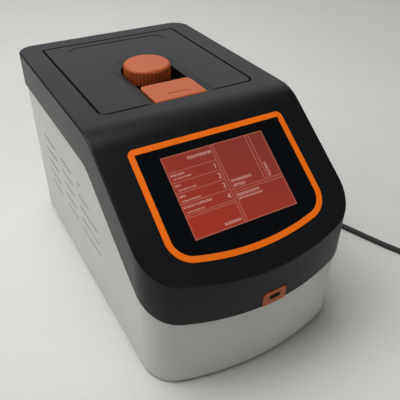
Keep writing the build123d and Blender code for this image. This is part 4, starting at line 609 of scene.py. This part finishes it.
# Mains lead: a 7 mm black jacketed lead, 1.8 m long, that runs round the machine on the bench
# and is stored in a coil beside it, in two layers, with its moulded plug next to the coil
cord_radius = 0.0035
lead_route = [
    (0.070, 0.2595, 0.042), (0.070, 0.279, 0.042), (0.073, 0.299, 0.034), (0.080, 0.322, 0.016),
    (0.092, 0.344, cord_radius), (0.112, 0.364, cord_radius), (0.138, 0.368, cord_radius),
    (0.164, 0.358, cord_radius), (0.180, 0.334, cord_radius), (0.184, 0.296, cord_radius),
    (0.176, 0.240, cord_radius), (0.171, 0.172, cord_radius), (0.179, 0.107, cord_radius),
    (0.195, 0.046, cord_radius), (0.211, -0.010, cord_radius), (0.2265, -0.059, cord_radius),
    (0.2425, -0.104, cord_radius), (0.2575, -0.1435, cord_radius), (0.271, -0.1705, cord_radius),
]
coil_lead_in = 0.042
outer_turn = 0.0435
turn_step = 0.007
turn_radii = [outer_turn, outer_turn - turn_step, outer_turn - 2 * turn_step,
              outer_turn - 1.5 * turn_step, outer_turn - 0.5 * turn_step]
last_turn = len(turn_radii) - 1
innermost = 2
side_step_share = 6
top_layer_height = 0.010
climb_start, climb_run = 2.75, 0.25
top_layer_start, step_out_run = 3.0, 0.15
points_a_turn = 16
tail_lengths = (0.010, 0.022, 0.034)
heading = (Vector(lead_route[-1]) - Vector(lead_route[-2])).normalized()
coil_start = Vector(lead_route[-1]) + heading * coil_lead_in
coil_centre = coil_start + Vector((-heading.y, heading.x, 0)) * outer_turn
start_angle = atan2(coil_start.y - coil_centre.y, coil_start.x - coil_centre.x) % (2 * pi)
coil_turns = len(turn_radii) - start_angle / (2 * pi)
coil_points = int(coil_turns * points_a_turn)
lead_points = [Vector(point) for point in lead_route]
for index in range(1, coil_points + 1):
    done = coil_turns * index / coil_points
    lap = min(int(done), last_turn)
    reach = turn_radii[lap]
    if lap not in (innermost, last_turn):
        side_step = max(0.0, (done - lap) * side_step_share - (side_step_share - 1))
        reach += (turn_radii[lap + 1] - turn_radii[lap]) * side_step
    if top_layer_start < done < top_layer_start + step_out_run:
        step_out = (done - top_layer_start) / step_out_run
        inner, next_out = turn_radii[innermost], turn_radii[innermost + 1]
        reach = inner + (next_out - inner) * step_out
    reach /= cos(pi / points_a_turn)
    climb = min(1.0, max(0.0, (done - climb_start) / climb_run))
    height = cord_radius + (top_layer_height - cord_radius) * climb
    angle = start_angle + 2 * pi * done
    lead_points.append(coil_centre + Vector((reach * cos(angle), reach * sin(angle), height)))
for back in tail_lengths:
    tail = Vector((coil_centre.x + turn_radii[last_turn], coil_centre.y + back, top_layer_height))
    lead_points.append(tail)
lead_curve = bpy.data.curves.new("mains_lead", "CURVE")
lead_curve.dimensions = "3D"
lead_curve.bevel_depth = cord_radius
lead_curve.bevel_resolution = 5
lead_curve.resolution_u = 10
lead_curve.use_fill_caps = True
line = lead_curve.splines.new("NURBS")
line.points.add(len(lead_points) - 1)
for control, point in zip(line.points, lead_points):
    control.co = (*point, 1)
line.order_u = 3
line.use_endpoint_u = True
lead_curve.materials.append(soft_rubber)
mains_lead = link("mains_lead", lead_curve)
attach(mains_lead, "base")
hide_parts("mains_cord", "cord_coil")
